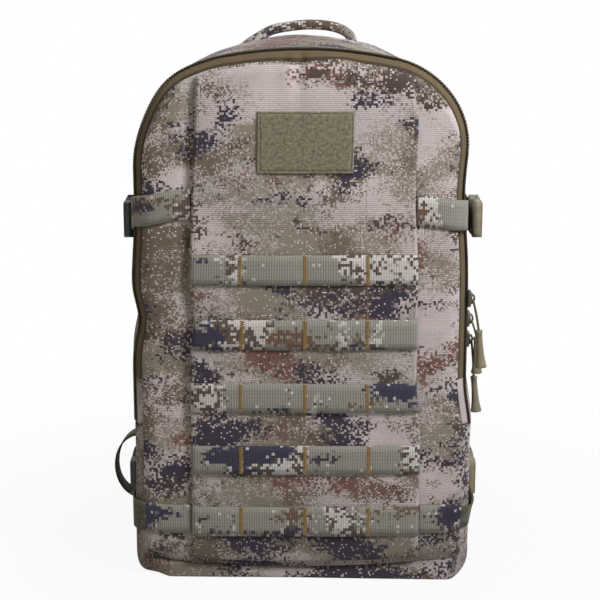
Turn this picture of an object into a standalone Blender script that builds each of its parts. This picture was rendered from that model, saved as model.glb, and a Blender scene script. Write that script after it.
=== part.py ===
"""A two-compartment camouflage field pack, built from its sewn and moulded pieces.

Metres, +Z up, front towards -Y. The origin lies on the floor, under the bottom panel.
"""

import math

import bmesh
import bpy
from mathutils import Matrix, Vector

# Clearance left between two pieces that touch
GAP = 0.0003

# Body outline, seen from the front
BODY_WIDTH = 0.280
BODY_HEIGHT = 0.447
TOP_ARCH_RADIUS = 0.200
RIGHT_CORNER_RADIUS = 0.068
LEFT_CORNER_RADIUS = 0.085
BOTTOM_CORNER_RADIUS = 0.030
BOTTOM_THICKNESS = 0.008
BOTTOM_SIDE_INSET = 0.022
BOTTOM_EDGE_ROUND = 0.005
BOTTOM_PLAN_RADIUS = 0.015
GUSSET_WALL = 0.003

# Depth of each layer, from the front to the back
FOLD_Y = -0.100
FOLD_Z = 0.135
FOLD_MARGIN = 0.0005
WEBBING_THICKNESS = 0.0016
WEBBING_WIDTH = 0.025
LOOP_RISE = 0.0022
PALS_PANEL_THICKNESS = 0.0035
FRONT_PANEL_THICKNESS = 0.004
FRONT_EDGE_INSET = 0.0135
FRONT_TAPER = 0.0045
FRONT_TOP_RISE = 0.0005
FRONT_ARCH_RADIUS = 0.340
FRONT_RIGHT_CORNER_RADIUS = 0.078
FRONT_LEFT_CORNER_RADIUS = 0.090
FLAP_TAPE_DEPTH = 0.008
ZIP_TAPE_DEPTH = 0.006
POCKET_DEPTH = 0.034
MAIN_DEPTH = 0.108
BACK_PANEL_THICKNESS = 0.004
DIVIDER_THICKNESS = 0.0015
FRAME_SHEET_THICKNESS = 0.0015
FRAME_SHEET_MARGIN = 0.020
SLEEVE_THICKNESS = 0.002
SLEEVE_DEPTH = 0.018
SLEEVE_TOP = 0.300
ORGANISER_THICKNESS = 0.002
ORGANISER_WIDTH = 0.180
ORGANISER_BOTTOM = 0.160
ORGANISER_TOP = 0.290
ORGANISER_CORNER = 0.012

# Webbing field on the front
PALS_WIDTH = 0.178
PALS_TOP_MARGIN = 0.004
TACK_PITCH = 0.050
ROW_PITCH = 0.054
ROW_TOP_Z = 0.2705
UPPER_ROWS = 3
LOWER_ROWS = 2
LOOP_STEPS = 5
PATCH_WIDTH = 0.078
PATCH_HEIGHT = 0.050
PATCH_TOP_DROP = 0.073
PATCH_THICKNESS = 0.0022
PATCH_CORNER = 0.002

# Compression straps and their buckles
UPPER_STRAP_Z = 0.318
UPPER_BUCKLE_Z = 0.303
LOWER_BUCKLE_Z = 0.076
BUCKLE_JOIN_Y = -0.034
BUCKLE_HEIGHT = 0.031
BUCKLE_THICKNESS = 0.0075
BUCKLE_CHAMFER = 0.002
SOCKET_LENGTH = 0.026
SOCKET_DEPTH = 0.014
SOCKET_HEIGHT = 0.024
SOCKET_OPENING = 0.0042
TONGUE_BODY_LENGTH = 0.018
TONGUE_LENGTH = 0.009
TONGUE_HEIGHT = 0.015
TONGUE_SIDE_PLAY = 0.0005
TAIL_RISE = 0.018
TAIL_BOTTOM_Z = 0.042
TAIL_TOP_Z = 0.100
TAIL_FRONT_Y = 0.006
TAIL_STEPS = 10

# Zip sliders and their pulls, on the wearer's left side
SLIDER_HEIGHT = 0.014
SLIDER_WIDTH = 0.009
SLIDER_PLATE = 0.0026
BRIDGE_HEIGHT = 0.009
BRIDGE_WIDTH = 0.004
BRIDGE_RISE = 0.0024
FRONT_SLIDER_Z = 0.2425
MAIN_UPPER_SLIDER_Z = 0.214
MAIN_LOWER_SLIDER_Z = 0.196
PULL_STANDOFF = 0.0105
PULL_SPLAY = 0.0055
PULL_CORD_RADIUS = 0.0011
FRONT_CORD_LENGTH = 0.022
MAIN_UPPER_CORD_LENGTH = 0.010
MAIN_LOWER_CORD_LENGTH = 0.030
GRIP_LENGTH = 0.032
GRIP_TOP_RADIUS = 0.0022
GRIP_END_RADIUS = 0.0043
GRIP_STEPS = 6
ROUND_SIDES = 10

# Carry handle on the top
HANDLE_Y = 0.045
HANDLE_SPAN = 0.096
HANDLE_GAP = 0.008
HANDLE_THICKNESS = 0.0085
HANDLE_DEPTH = 0.016
HANDLE_FOOT_DEPTH = 0.009
HANDLE_FOOT_CHAMFER = 0.0025
HANDLE_STEPS = 16
HANDLE_SQUARENESS = 2.6

# Back pads and shoulder straps
BACK_PAD_THICKNESS = 0.012
BACK_PAD_INNER_X = 0.014
BACK_PAD_OUTER_X = 0.104
BACK_PAD_BOTTOM = 0.165
BACK_PAD_TOP = 0.385
LUMBAR_PAD_BOTTOM = 0.040
LUMBAR_PAD_TOP = 0.150
LUMBAR_PAD_WIDTH = 0.146
PAD_CORNER_RADIUS = 0.022
PAD_CROWN_INSET = 0.012
PAD_PINCH = 0.002
STRAP_TOP_X = 0.055
STRAP_BOTTOM_X = 0.092
STRAP_TOP_Z = 0.418
STRAP_BOTTOM_Z = 0.170
STRAP_BOW = 0.058
STRAP_END_STANDOFF = 0.020
STRAP_TOP_WIDTH = 0.062
STRAP_BOTTOM_WIDTH = 0.040
STRAP_THICKNESS = 0.013
STRAP_TIP_THICKNESS = 0.006
STRAP_STEPS = 16
STRAP_HINGE_DROP = 0.0008
LOCK_WIDTH = 0.036
LOCK_HEIGHT = 0.024
LOCK_THICKNESS = 0.005
LOCK_BAR = 0.0045
ANCHOR_EDGE_INSET = 0.024
ANCHOR_Z = 0.034
ANCHOR_STEPS = 8

ARC_STEPS = 7

# Planes that follow from those depths
HALF_WIDTH = BODY_WIDTH / 2
BODY_BASE = BOTTOM_THICKNESS + GAP
WEBBING_BACK_Y = FOLD_Y + FOLD_MARGIN + LOOP_RISE + WEBBING_THICKNESS
PALS_FRONT_Y = WEBBING_BACK_Y + GAP
PALS_BACK_Y = PALS_FRONT_Y + PALS_PANEL_THICKNESS
PANEL_FRONT_Y = PALS_BACK_Y + GAP
PANEL_BACK_Y = PANEL_FRONT_Y + FRONT_PANEL_THICKNESS
FLAP_TAPE_FRONT_Y = PANEL_BACK_Y + GAP
FLAP_TAPE_BACK_Y = FLAP_TAPE_FRONT_Y + FLAP_TAPE_DEPTH
POCKET_TAPE_FRONT_Y = FLAP_TAPE_BACK_Y + GAP
POCKET_TAPE_BACK_Y = POCKET_TAPE_FRONT_Y + ZIP_TAPE_DEPTH
POCKET_FRONT_Y = POCKET_TAPE_BACK_Y + GAP
POCKET_BACK_Y = POCKET_FRONT_Y + POCKET_DEPTH
MAIN_FRONT_TAPE_FRONT_Y = POCKET_BACK_Y + GAP
MAIN_FRONT_TAPE_BACK_Y = MAIN_FRONT_TAPE_FRONT_Y + ZIP_TAPE_DEPTH
MAIN_REAR_TAPE_FRONT_Y = MAIN_FRONT_TAPE_BACK_Y + GAP
MAIN_REAR_TAPE_BACK_Y = MAIN_REAR_TAPE_FRONT_Y + ZIP_TAPE_DEPTH
MAIN_FRONT_Y = MAIN_REAR_TAPE_BACK_Y + GAP
MAIN_BACK_Y = MAIN_FRONT_Y + MAIN_DEPTH
BACK_PANEL_FRONT_Y = MAIN_BACK_Y + GAP
BACK_Y = BACK_PANEL_FRONT_Y + BACK_PANEL_THICKNESS
ABOVE_FOLD = FOLD_Z + GAP / 2
BELOW_FOLD = FOLD_Z - GAP / 2
WEB_SIDE_X = HALF_WIDTH + GAP
BUCKLE_SIDE_X = WEB_SIDE_X + WEBBING_THICKNESS + GAP

FABRIC = ((0.30, 0.25, 0.19), 0.9, 0.0)
DARK_FABRIC = ((0.10, 0.10, 0.08), 0.9, 0.0)
WEBBING = ((0.25, 0.25, 0.21), 0.85, 0.0)
OLIVE_TAPE = ((0.18, 0.13, 0.06), 0.8, 0.0)
LOOP_PILE = ((0.16, 0.16, 0.08), 1.0, 0.0)
MESH_FOAM = ((0.05, 0.05, 0.045), 0.95, 0.0)
DARK_PLASTIC = ((0.025, 0.03, 0.028), 0.45, 0.0)
OLIVE_PLASTIC = ((0.16, 0.15, 0.10), 0.5, 0.0)
SLIDER_METAL = ((0.05, 0.05, 0.05), 0.4, 1.0)
FRAME_PLASTIC = ((0.03, 0.03, 0.03), 0.5, 0.0)


def clear_scene():
    for obj in list(bpy.data.objects):
        bpy.data.objects.remove(obj, do_unlink=True)


def material_for(name, finish):
    colour, roughness, metallic = finish
    material = bpy.data.materials.new(name)
    material.use_nodes = True
    shader = material.node_tree.nodes["Principled BSDF"]
    shader.inputs["Base Color"].default_value = (*colour, 1.0)
    shader.inputs["Roughness"].default_value = roughness
    shader.inputs["Metallic"].default_value = metallic
    return material


def pivot(name, place):
    """An empty on a joint's axis, which the moving pieces hang from."""
    empty = bpy.data.objects.new(name, None)
    empty.location = place
    empty.empty_display_size = 0.02
    bpy.context.scene.collection.objects.link(empty)
    return empty


def add_piece(name, mesh_build, finish, parent=None):
    """Links a closed mesh as one named piece, with its own material and its faces outwards."""
    bmesh.ops.recalc_face_normals(mesh_build, faces=mesh_build.faces)
    mesh = bpy.data.meshes.new(name)
    mesh_build.to_mesh(mesh)
    mesh_build.free()
    mesh.materials.append(material_for(name, finish))
    obj = bpy.data.objects.new(name, mesh)
    bpy.context.scene.collection.objects.link(obj)
    if parent is not None:
        obj.parent = parent
        obj.matrix_parent_inverse = Matrix.Translation(-parent.location)
    return obj


def join_loops(mesh_build, first, second):
    count = len(first)
    for i in range(count):
        after = (i + 1) % count
        mesh_build.faces.new((first[i], first[after], second[after], second[i]))


def loft(name, loops, finish, parent=None, ring=False):
    """A solid through loops of points. As a ring the last loop joins the first, else both ends are capped."""
    build = bmesh.new()
    rows = [[build.verts.new(point) for point in loop] for loop in loops]
    for first, second in zip(rows, rows[1:]):
        join_loops(build, first, second)
    if ring:
        join_loops(build, rows[-1], rows[0])
    else:
        build.faces.new(rows[0])
        build.faces.new(rows[-1])
    return add_piece(name, build, finish, parent)


def arc(centre_x, centre_z, radius, start, end, steps=ARC_STEPS):
    angles = [start + (end - start) * i / steps for i in range(steps + 1)]
    return [(centre_x + radius * math.cos(a), centre_z + radius * math.sin(a)) for a in angles]


def top_corner(half, arch, radius):
    """How far a top corner's centre lies above the arch's centre, and the angle where it meets the arch."""
    across = half - radius
    rise = math.sqrt((arch - radius) ** 2 - across**2)
    return rise, math.atan2(rise, across)


def arched_path(half, top, arch_radius, right_radius, left_radius, inset, cut):
    """An arched edge above a height, from the right side over the top to the left side."""
    arch_z = top - arch_radius
    right_rise, right_turn = top_corner(half, arch_radius, right_radius)
    left_rise, left_turn = top_corner(half, arch_radius, left_radius)
    left_start = math.pi - left_turn
    right = arc(half - right_radius, arch_z + right_rise, right_radius - inset, 0, right_turn)
    over = arc(0, arch_z, arch_radius - inset, right_turn, left_start)
    left = arc(left_radius - half, arch_z + left_rise, left_radius - inset, left_start, math.pi)
    return [(half - inset, cut)] + right + over[1:-1] + left + [(inset - half, cut)]


def upper_path(inset, cut):
    """The body's edge above a height; its left corner droops more."""
    corners = (RIGHT_CORNER_RADIUS, LEFT_CORNER_RADIUS)
    return arched_path(HALF_WIDTH, BODY_HEIGHT, TOP_ARCH_RADIUS, *corners, inset, cut)


def front_path(inset, cut):
    """The front rim above a height: narrower than the body and squarer. Its inset counts from the body's side."""
    half = HALF_WIDTH - FRONT_TAPER
    corners = (FRONT_RIGHT_CORNER_RADIUS, FRONT_LEFT_CORNER_RADIUS)
    top = BODY_HEIGHT + FRONT_TOP_RISE
    return arched_path(half, top, FRONT_ARCH_RADIUS, *corners, inset - FRONT_TAPER, cut)


def front_top(x, inset):
    """Height of the front rim above a point, on its arch or on a corner."""
    half = HALF_WIDTH - FRONT_TAPER
    radius = FRONT_RIGHT_CORNER_RADIUS if x > 0 else FRONT_LEFT_CORNER_RADIUS
    rise, turn = top_corner(half, FRONT_ARCH_RADIUS, radius)
    arch_z = BODY_HEIGHT + FRONT_TOP_RISE - FRONT_ARCH_RADIUS
    arch = FRONT_ARCH_RADIUS + FRONT_TAPER - inset
    if abs(x) <= arch * math.cos(turn):
        return arch_z + math.sqrt(arch**2 - x**2)
    corner = radius + FRONT_TAPER - inset
    return arch_z + rise + math.sqrt(corner**2 - (abs(x) - half + radius) ** 2)


def lower_path(inset, cut):
    """The body's edge below a height, from the left side under the bottom to the right side."""
    half = HALF_WIDTH - inset
    low = BOTTOM_CORNER_RADIUS - inset
    right = arc(half - low, BODY_BASE + BOTTOM_CORNER_RADIUS, low, -math.pi / 2, 0)
    left = [(-x, z) for x, z in reversed(right)]
    return [(-half, cut)] + left + right + [(half, cut)]


def whole_path(inset):
    return upper_path(inset, FOLD_Z)[1:-1] + lower_path(inset, FOLD_Z)[1:-1]


def top_height(x):
    """Height of the arched top above a point between its corners."""
    return BODY_HEIGHT - TOP_ARCH_RADIUS + math.sqrt(TOP_ARCH_RADIUS**2 - x**2)


def at_y(path, y):
    return [(x, y, z) for x, z in path]


def plate(name, path, front, back, finish, parent=None):
    return loft(name, [at_y(path, front), at_y(path, back)], finish, parent)


def band_path(path_of, inset, cut):
    """A wall that follows the body's edge, open at the cut."""
    outer = path_of(inset, cut)
    inner = path_of(inset + GUSSET_WALL, cut)
    return outer + inner[::-1]


def band(name, path_of, cut, stations, finish, parent=None):
    loops = [at_y(band_path(path_of, inset, cut), y) for y, inset in stations]
    return loft(name, loops, finish, parent)


def rounded_rectangle(x0, x1, z0, z1, radius, steps=4):
    quarter = math.pi / 2
    points = arc(x1 - radius, z0 + radius, radius, -quarter, 0, steps)
    points += arc(x1 - radius, z1 - radius, radius, 0, quarter, steps)
    points += arc(x0 + radius, z1 - radius, radius, quarter, 2 * quarter, steps)
    points += arc(x0 + radius, z0 + radius, radius, 2 * quarter, 3 * quarter, steps)
    return points


def chamfered(x0, x1, z0, z1, cut):
    return [
        (x0 + cut, z0), (x1 - cut, z0), (x1, z0 + cut), (x1, z1 - cut),
        (x1 - cut, z1), (x0 + cut, z1), (x0, z1 - cut), (x0, z0 + cut),
    ]


def cushion(name, x0, x1, z0, z1, finish):
    """A crowned pad on the back panel, whose sides draw in below the crown."""
    base = BACK_Y + GAP
    heights = (0.0, 0.35, 0.75, 1.0)
    insets = (PAD_PINCH, 0.0, PAD_CROWN_INSET * 0.35, PAD_CROWN_INSET)
    loops = []
    for height, inset in zip(heights, insets):
        radius = PAD_CORNER_RADIUS - inset
        path = rounded_rectangle(x0 + inset, x1 - inset, z0 + inset, z1 - inset, radius)
        loops.append(at_y(path, base + height * BACK_PAD_THICKNESS))
    return loft(name, loops, finish)


def flat_strip(name, points, normals, finish, parent=None):
    """Webbing that stands on edge: its inner face runs through the points, its outer face lies off them."""
    loops = []
    for (x, y, z), (nx, ny) in zip(points, normals):
        low = z - WEBBING_WIDTH / 2
        high = z + WEBBING_WIDTH / 2
        outer = (x + nx * WEBBING_THICKNESS, y + ny * WEBBING_THICKNESS)
        loops.append([(x, y, low), (*outer, low), (*outer, high), (x, y, high)])
    return loft(name, loops, finish, parent)


def row_height(number):
    return ROW_TOP_Z - ROW_PITCH * (number - 1)


def webbing_row(number, parent=None):
    """One row sewn down at its tacks and its ends, so that it bows out into four loops."""
    ends = [-PALS_WIDTH / 2, -TACK_PITCH, 0.0, TACK_PITCH, PALS_WIDTH / 2]
    back = [(ends[0], WEBBING_BACK_Y)]
    for start, end in zip(ends, ends[1:]):
        for step in range(1, LOOP_STEPS + 1):
            share = step / LOOP_STEPS
            back.append((start + (end - start) * share, WEBBING_BACK_Y - LOOP_RISE * math.sin(math.pi * share)))
    points = [(x, y, row_height(number)) for x, y in back]
    return flat_strip(f"webbing_row_{number}", points, [(0, -1)] * len(points), WEBBING, parent)


def pals_top():
    """The arched upper edge of the webbing panel, from right to left."""
    half = PALS_WIDTH / 2
    inset = FRONT_EDGE_INSET + PALS_TOP_MARGIN
    xs = [half - PALS_WIDTH * i / ARC_STEPS for i in range(ARC_STEPS + 1)]
    return [(x, front_top(x, inset)) for x in xs]


def compression_strap(name, side, start_z, end_z, parent=None):
    """Webbing from the webbing panel's edge, round the front corner and back along the side."""
    corner = GAP + WEBBING_THICKNESS
    stops = [
        (PALS_WIDTH / 2 + GAP, PANEL_FRONT_Y - GAP, 0, -1, 0.0),
        (HALF_WIDTH - FRONT_EDGE_INSET, PANEL_FRONT_Y - GAP, 0, -1, 0.5),
        (HALF_WIDTH - FRONT_EDGE_INSET + corner, PANEL_FRONT_Y + corner, 0.7, -0.7, 0.55),
        (WEB_SIDE_X - FRONT_TAPER, FLAP_TAPE_BACK_Y, 1, -0.4, 0.65),
        (WEB_SIDE_X, POCKET_BACK_Y, 1, 0, 0.95),
        (WEB_SIDE_X, BUCKLE_JOIN_Y - GAP, 1, 0, 1.0),
    ]
    points = [(side * x, y, start_z + (end_z - start_z) * share) for x, y, _, _, share in stops]
    normals = [(side * nx, ny) for _, _, nx, ny, _ in stops]
    return flat_strip(name, points, normals, WEBBING, parent)


def rear_webbing(name, side, z):
    points = [(side * WEB_SIDE_X, y, z) for y in (MAIN_FRONT_Y, MAIN_BACK_Y)]
    return flat_strip(name, points, [(side, 0)] * 2, WEBBING)


def buckle_loop(side, x0, x1, height, z, y, cut):
    path = chamfered(x0, x1, z - height / 2, z + height / 2, cut)
    return [(side * x, y, pz) for x, pz in path]


def buckle_socket(name, side, z, finish):
    """The female half: a case on the rear webbing with a mouth towards the front."""
    x0 = BUCKLE_SIDE_X
    x1 = x0 + BUCKLE_THICKNESS
    middle = (x0 + x1) / 2
    mouth = (middle - SOCKET_OPENING / 2, middle + SOCKET_OPENING / 2)
    front = BUCKLE_JOIN_Y + GAP
    inner_cut = BUCKLE_CHAMFER / 4
    loops = [
        buckle_loop(side, x0, x1, BUCKLE_HEIGHT, z, front + SOCKET_LENGTH, BUCKLE_CHAMFER),
        buckle_loop(side, x0, x1, BUCKLE_HEIGHT, z, front, BUCKLE_CHAMFER),
        buckle_loop(side, *mouth, SOCKET_HEIGHT, z, front, inner_cut),
        buckle_loop(side, *mouth, SOCKET_HEIGHT, z, front + SOCKET_DEPTH, inner_cut),
    ]
    return loft(name, loops, finish)


def buckle_tongue(name, side, z, finish, parent):
    """The male half: a bar on the front webbing and a tongue that enters the socket."""
    x0 = BUCKLE_SIDE_X
    x1 = x0 + BUCKLE_THICKNESS
    middle = (x0 + x1) / 2
    half = SOCKET_OPENING / 2 - TONGUE_SIDE_PLAY
    tongue = (middle - half, middle + half)
    tip = BUCKLE_JOIN_Y + TONGUE_LENGTH
    inner_cut = BUCKLE_CHAMFER / 4
    loops = [
        buckle_loop(side, x0, x1, BUCKLE_HEIGHT, z, BUCKLE_JOIN_Y - TONGUE_BODY_LENGTH, BUCKLE_CHAMFER),
        buckle_loop(side, x0, x1, BUCKLE_HEIGHT, z, BUCKLE_JOIN_Y, BUCKLE_CHAMFER),
        buckle_loop(side, *tongue, TONGUE_HEIGHT, z, BUCKLE_JOIN_Y, inner_cut),
        buckle_loop(side, *tongue, TONGUE_HEIGHT, z, tip, inner_cut),
    ]
    return loft(name, loops, finish, parent)


def yz_loop(x, y, z, width, height):
    low = y - width / 2
    high = y + width / 2
    bottom = z - height / 2
    top = z + height / 2
    return [(x, low, bottom), (x, high, bottom), (x, high, top), (x, low, top)]


def zip_slider(number, side_x, y, z, parent):
    """A slider's plate flat on the two tapes, with the bridge that holds the pull."""
    x0 = side_x + GAP
    x1 = x0 + SLIDER_PLATE
    x2 = x1 + BRIDGE_RISE
    loops = [
        yz_loop(x0, y, z, SLIDER_WIDTH, SLIDER_HEIGHT),
        yz_loop(x1, y, z, SLIDER_WIDTH, SLIDER_HEIGHT),
        yz_loop(x1, y, z, BRIDGE_WIDTH, BRIDGE_HEIGHT),
        yz_loop(x2, y, z, BRIDGE_WIDTH, BRIDGE_HEIGHT),
    ]
    return loft(f"zip_slider_{number}", loops, SLIDER_METAL, parent)


def pull_axis(side_x, y, z):
    """Where a pull hangs: just outside the bridge's face, at its lower edge, so that it can swing out."""
    x = side_x + GAP + SLIDER_PLATE + BRIDGE_RISE + PULL_CORD_RADIUS
    return Vector((x, y, z - BRIDGE_HEIGHT / 2))


def disc(centre, radius):
    turns = [2 * math.pi * i / ROUND_SIDES for i in range(ROUND_SIDES)]
    return [centre + Vector((radius * math.cos(t), radius * math.sin(t), 0)) for t in turns]


def zip_pull(number, side_x, y, z, cord_length, splay, parent):
    """A short cord from the bridge to a moulded grip that widens downwards."""
    top = pull_axis(side_x, y, z) + Vector((0, 0, -GAP))
    end = Vector((side_x + PULL_STANDOFF, y + splay, top.z - cord_length))
    middle = top.lerp(end, 0.5)
    loft(
        f"zip_cord_{number}",
        [disc(top, PULL_CORD_RADIUS), disc(middle, PULL_CORD_RADIUS), disc(end, PULL_CORD_RADIUS)],
        OLIVE_TAPE,
        parent,
    )
    loops = []
    for step in range(GRIP_STEPS + 1):
        share = step / GRIP_STEPS
        radius = GRIP_TOP_RADIUS + (GRIP_END_RADIUS - GRIP_TOP_RADIUS) * share**1.6
        loops.append(disc(end + Vector((0, 0, -GAP - GRIP_LENGTH * share)), radius))
    loft(f"zip_grip_{number}", loops, OLIVE_PLASTIC, parent)


def handle_foot_z():
    """The handle's feet clear the highest point of the arched top under them."""
    inner = HANDLE_SPAN / 2 - HANDLE_THICKNESS
    return top_height(inner) + GAP


def handle_axis():
    return Vector((0, HANDLE_Y, handle_foot_z() + HANDLE_FOOT_DEPTH / 2))


def carry_handle(parent):
    """A rolled webbing loop: an arch along X, deep at its crown and slim at its feet."""
    foot = handle_foot_z()
    half = (HANDLE_SPAN - HANDLE_THICKNESS) / 2
    rise = BODY_HEIGHT + HANDLE_GAP + HANDLE_THICKNESS / 2 - foot
    power = 2 / HANDLE_SQUARENESS
    path = []
    for step in range(HANDLE_STEPS + 1):
        turn = math.pi * step / HANDLE_STEPS
        x = -half * math.copysign(abs(math.cos(turn)) ** power, math.cos(turn))
        path.append(Vector((x, 0, foot + rise * math.sin(turn) ** power)))
    loops = []
    for i, point in enumerate(path):
        along = path[min(i + 1, HANDLE_STEPS)] - path[max(i - 1, 0)]
        if i in (0, HANDLE_STEPS):
            along = Vector((0, 0, 1 if i == 0 else -1))
        across = Vector((-along.z, 0, along.x)).normalized() * HANDLE_THICKNESS / 2
        share = math.sin(math.pi * i / HANDLE_STEPS)
        deep = Vector((0, (HANDLE_FOOT_DEPTH + (HANDLE_DEPTH - HANDLE_FOOT_DEPTH) * share) / 2, 0))
        centre = point + Vector((0, HANDLE_Y, 0))
        loop = [centre - across - deep, centre + across - deep, centre + across + deep, centre - across + deep]
        if i in (0, HANDLE_STEPS):
            trim = Vector((0, HANDLE_FOOT_CHAMFER, 0))
            tip = [loop[0] + trim, loop[1] + trim, loop[2] - trim, loop[3] - trim]
            raised = [p + Vector((0, 0, HANDLE_FOOT_CHAMFER)) for p in loop]
            loops += [tip, raised] if i == 0 else [raised, tip]
        else:
            loops.append(loop)
    return loft("carry_handle", loops, WEBBING, parent)


def strap_point(share):
    """Middle line of a shoulder strap: from the yoke, bowed off the back, to its lower end."""
    ease = share * share * (3 - 2 * share)
    x = STRAP_TOP_X + (STRAP_BOTTOM_X - STRAP_TOP_X) * ease
    rest_y = BACK_Y + GAP + STRAP_TIP_THICKNESS / 2 + STRAP_END_STANDOFF * share
    z = STRAP_TOP_Z + (STRAP_BOTTOM_Z - STRAP_TOP_Z) * share
    return Vector((x, rest_y + STRAP_BOW * math.sin(math.pi * share) ** 1.2, z))


def strap_axis(side):
    top = strap_point(0)
    return Vector((side * top.x, top.y, top.z - STRAP_HINGE_DROP))


def shoulder_pad(name, side, parent):
    loops = []
    for step in range(STRAP_STEPS + 1):
        share = step / STRAP_STEPS
        point = strap_point(share)
        ahead = strap_point(min(share + 0.01, 1)) - strap_point(max(share - 0.01, 0))
        along = Vector((0, ahead.y, ahead.z)).normalized()
        if step in (0, STRAP_STEPS):
            along = Vector((0, 0, -1))
        out = Vector((0, -along.z, along.y))
        swell = min(1.0, 6 * share, 6 * (1 - share))
        thick = (STRAP_TIP_THICKNESS + (STRAP_THICKNESS - STRAP_TIP_THICKNESS) * swell) / 2
        wide = (STRAP_TOP_WIDTH + (STRAP_BOTTOM_WIDTH - STRAP_TOP_WIDTH) * share) / 2
        section = chamfered(-wide, wide, -thick, thick, thick * 0.7)
        loops.append([(side * (point.x + a), point.y + b * out.y, point.z + b * out.z) for a, b in section])
    return loft(name, loops, MESH_FOAM, parent)


def lock_centre():
    end = strap_point(1)
    return Vector((end.x, end.y, end.z - GAP - LOCK_HEIGHT / 2))


def ladder_lock(name, side, parent):
    """A flat frame at the strap's end, with a slot for the adjusting webbing."""
    centre = lock_centre()
    x0 = centre.x - LOCK_WIDTH / 2
    x1 = centre.x + LOCK_WIDTH / 2
    z0 = centre.z - LOCK_HEIGHT / 2
    z1 = centre.z + LOCK_HEIGHT / 2
    outer = chamfered(x0, x1, z0, z1, LOCK_BAR / 2)
    inner = chamfered(x0 + LOCK_BAR, x1 - LOCK_BAR, z0 + LOCK_BAR, z1 - LOCK_BAR, LOCK_BAR / 4)
    front = centre.y - LOCK_THICKNESS / 2
    back = centre.y + LOCK_THICKNESS / 2
    loops = [at_y(outer, front), at_y(outer, back), at_y(inner, back), at_y(inner, front)]
    loops = [[(side * x, y, z) for x, y, z in loop] for loop in loops]
    return loft(name, loops, DARK_PLASTIC, parent, ring=True)


def shoulder_webbing(name, side):
    """Adjusting webbing from the lower anchor at the back seam up to the ladder lock."""
    centre = lock_centre()
    top = Vector((centre.x, centre.y, centre.z - LOCK_HEIGHT / 2 - GAP))
    low = Vector((HALF_WIDTH - ANCHOR_EDGE_INSET, BACK_Y + GAP + WEBBING_THICKNESS / 2, ANCHOR_Z))
    loops = []
    for step in range(ANCHOR_STEPS + 1):
        share = step / ANCHOR_STEPS
        point = low.lerp(top, share)
        point.y = low.y + (top.y - low.y) * share**1.5
        half = WEBBING_WIDTH / 2
        thick = WEBBING_THICKNESS / 2
        loops.append([
            (side * (point.x + a), point.y + b, point.z)
            for a, b in ((-half, -thick), (half, -thick), (half, thick), (-half, thick))
        ])
    return loft(name, loops, WEBBING)


def strap_tail(name, side):
    """The spare end of a lower strap, turned back on itself in a loop that stands off the side."""
    start = WEB_SIDE_X + WEBBING_THICKNESS / 2
    path = []
    for step in range(TAIL_STEPS + 1):
        turn = math.pi * step / TAIL_STEPS
        z = (TAIL_TOP_Z + TAIL_BOTTOM_Z) / 2 + (TAIL_TOP_Z - TAIL_BOTTOM_Z) / 2 * math.cos(turn)
        path.append(Vector((start + TAIL_RISE * math.sin(turn) ** 0.8, 0, z)))
    loops = []
    for i, point in enumerate(path):
        along = (path[min(i + 1, TAIL_STEPS)] - path[max(i - 1, 0)]).normalized()
        if i in (0, TAIL_STEPS):
            along = Vector((0, 0, -1))
        off = Vector((-along.z, 0, along.x)) * WEBBING_THICKNESS / 2
        inner = point - off
        outer = point + off
        y0 = TAIL_FRONT_Y
        y1 = TAIL_FRONT_Y + WEBBING_WIDTH
        loops.append([
            (side * inner.x, y0, inner.z), (side * outer.x, y0, outer.z),
            (side * outer.x, y1, outer.z), (side * inner.x, y1, inner.z),
        ])
    return loft(name, loops, DARK_FABRIC)


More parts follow.
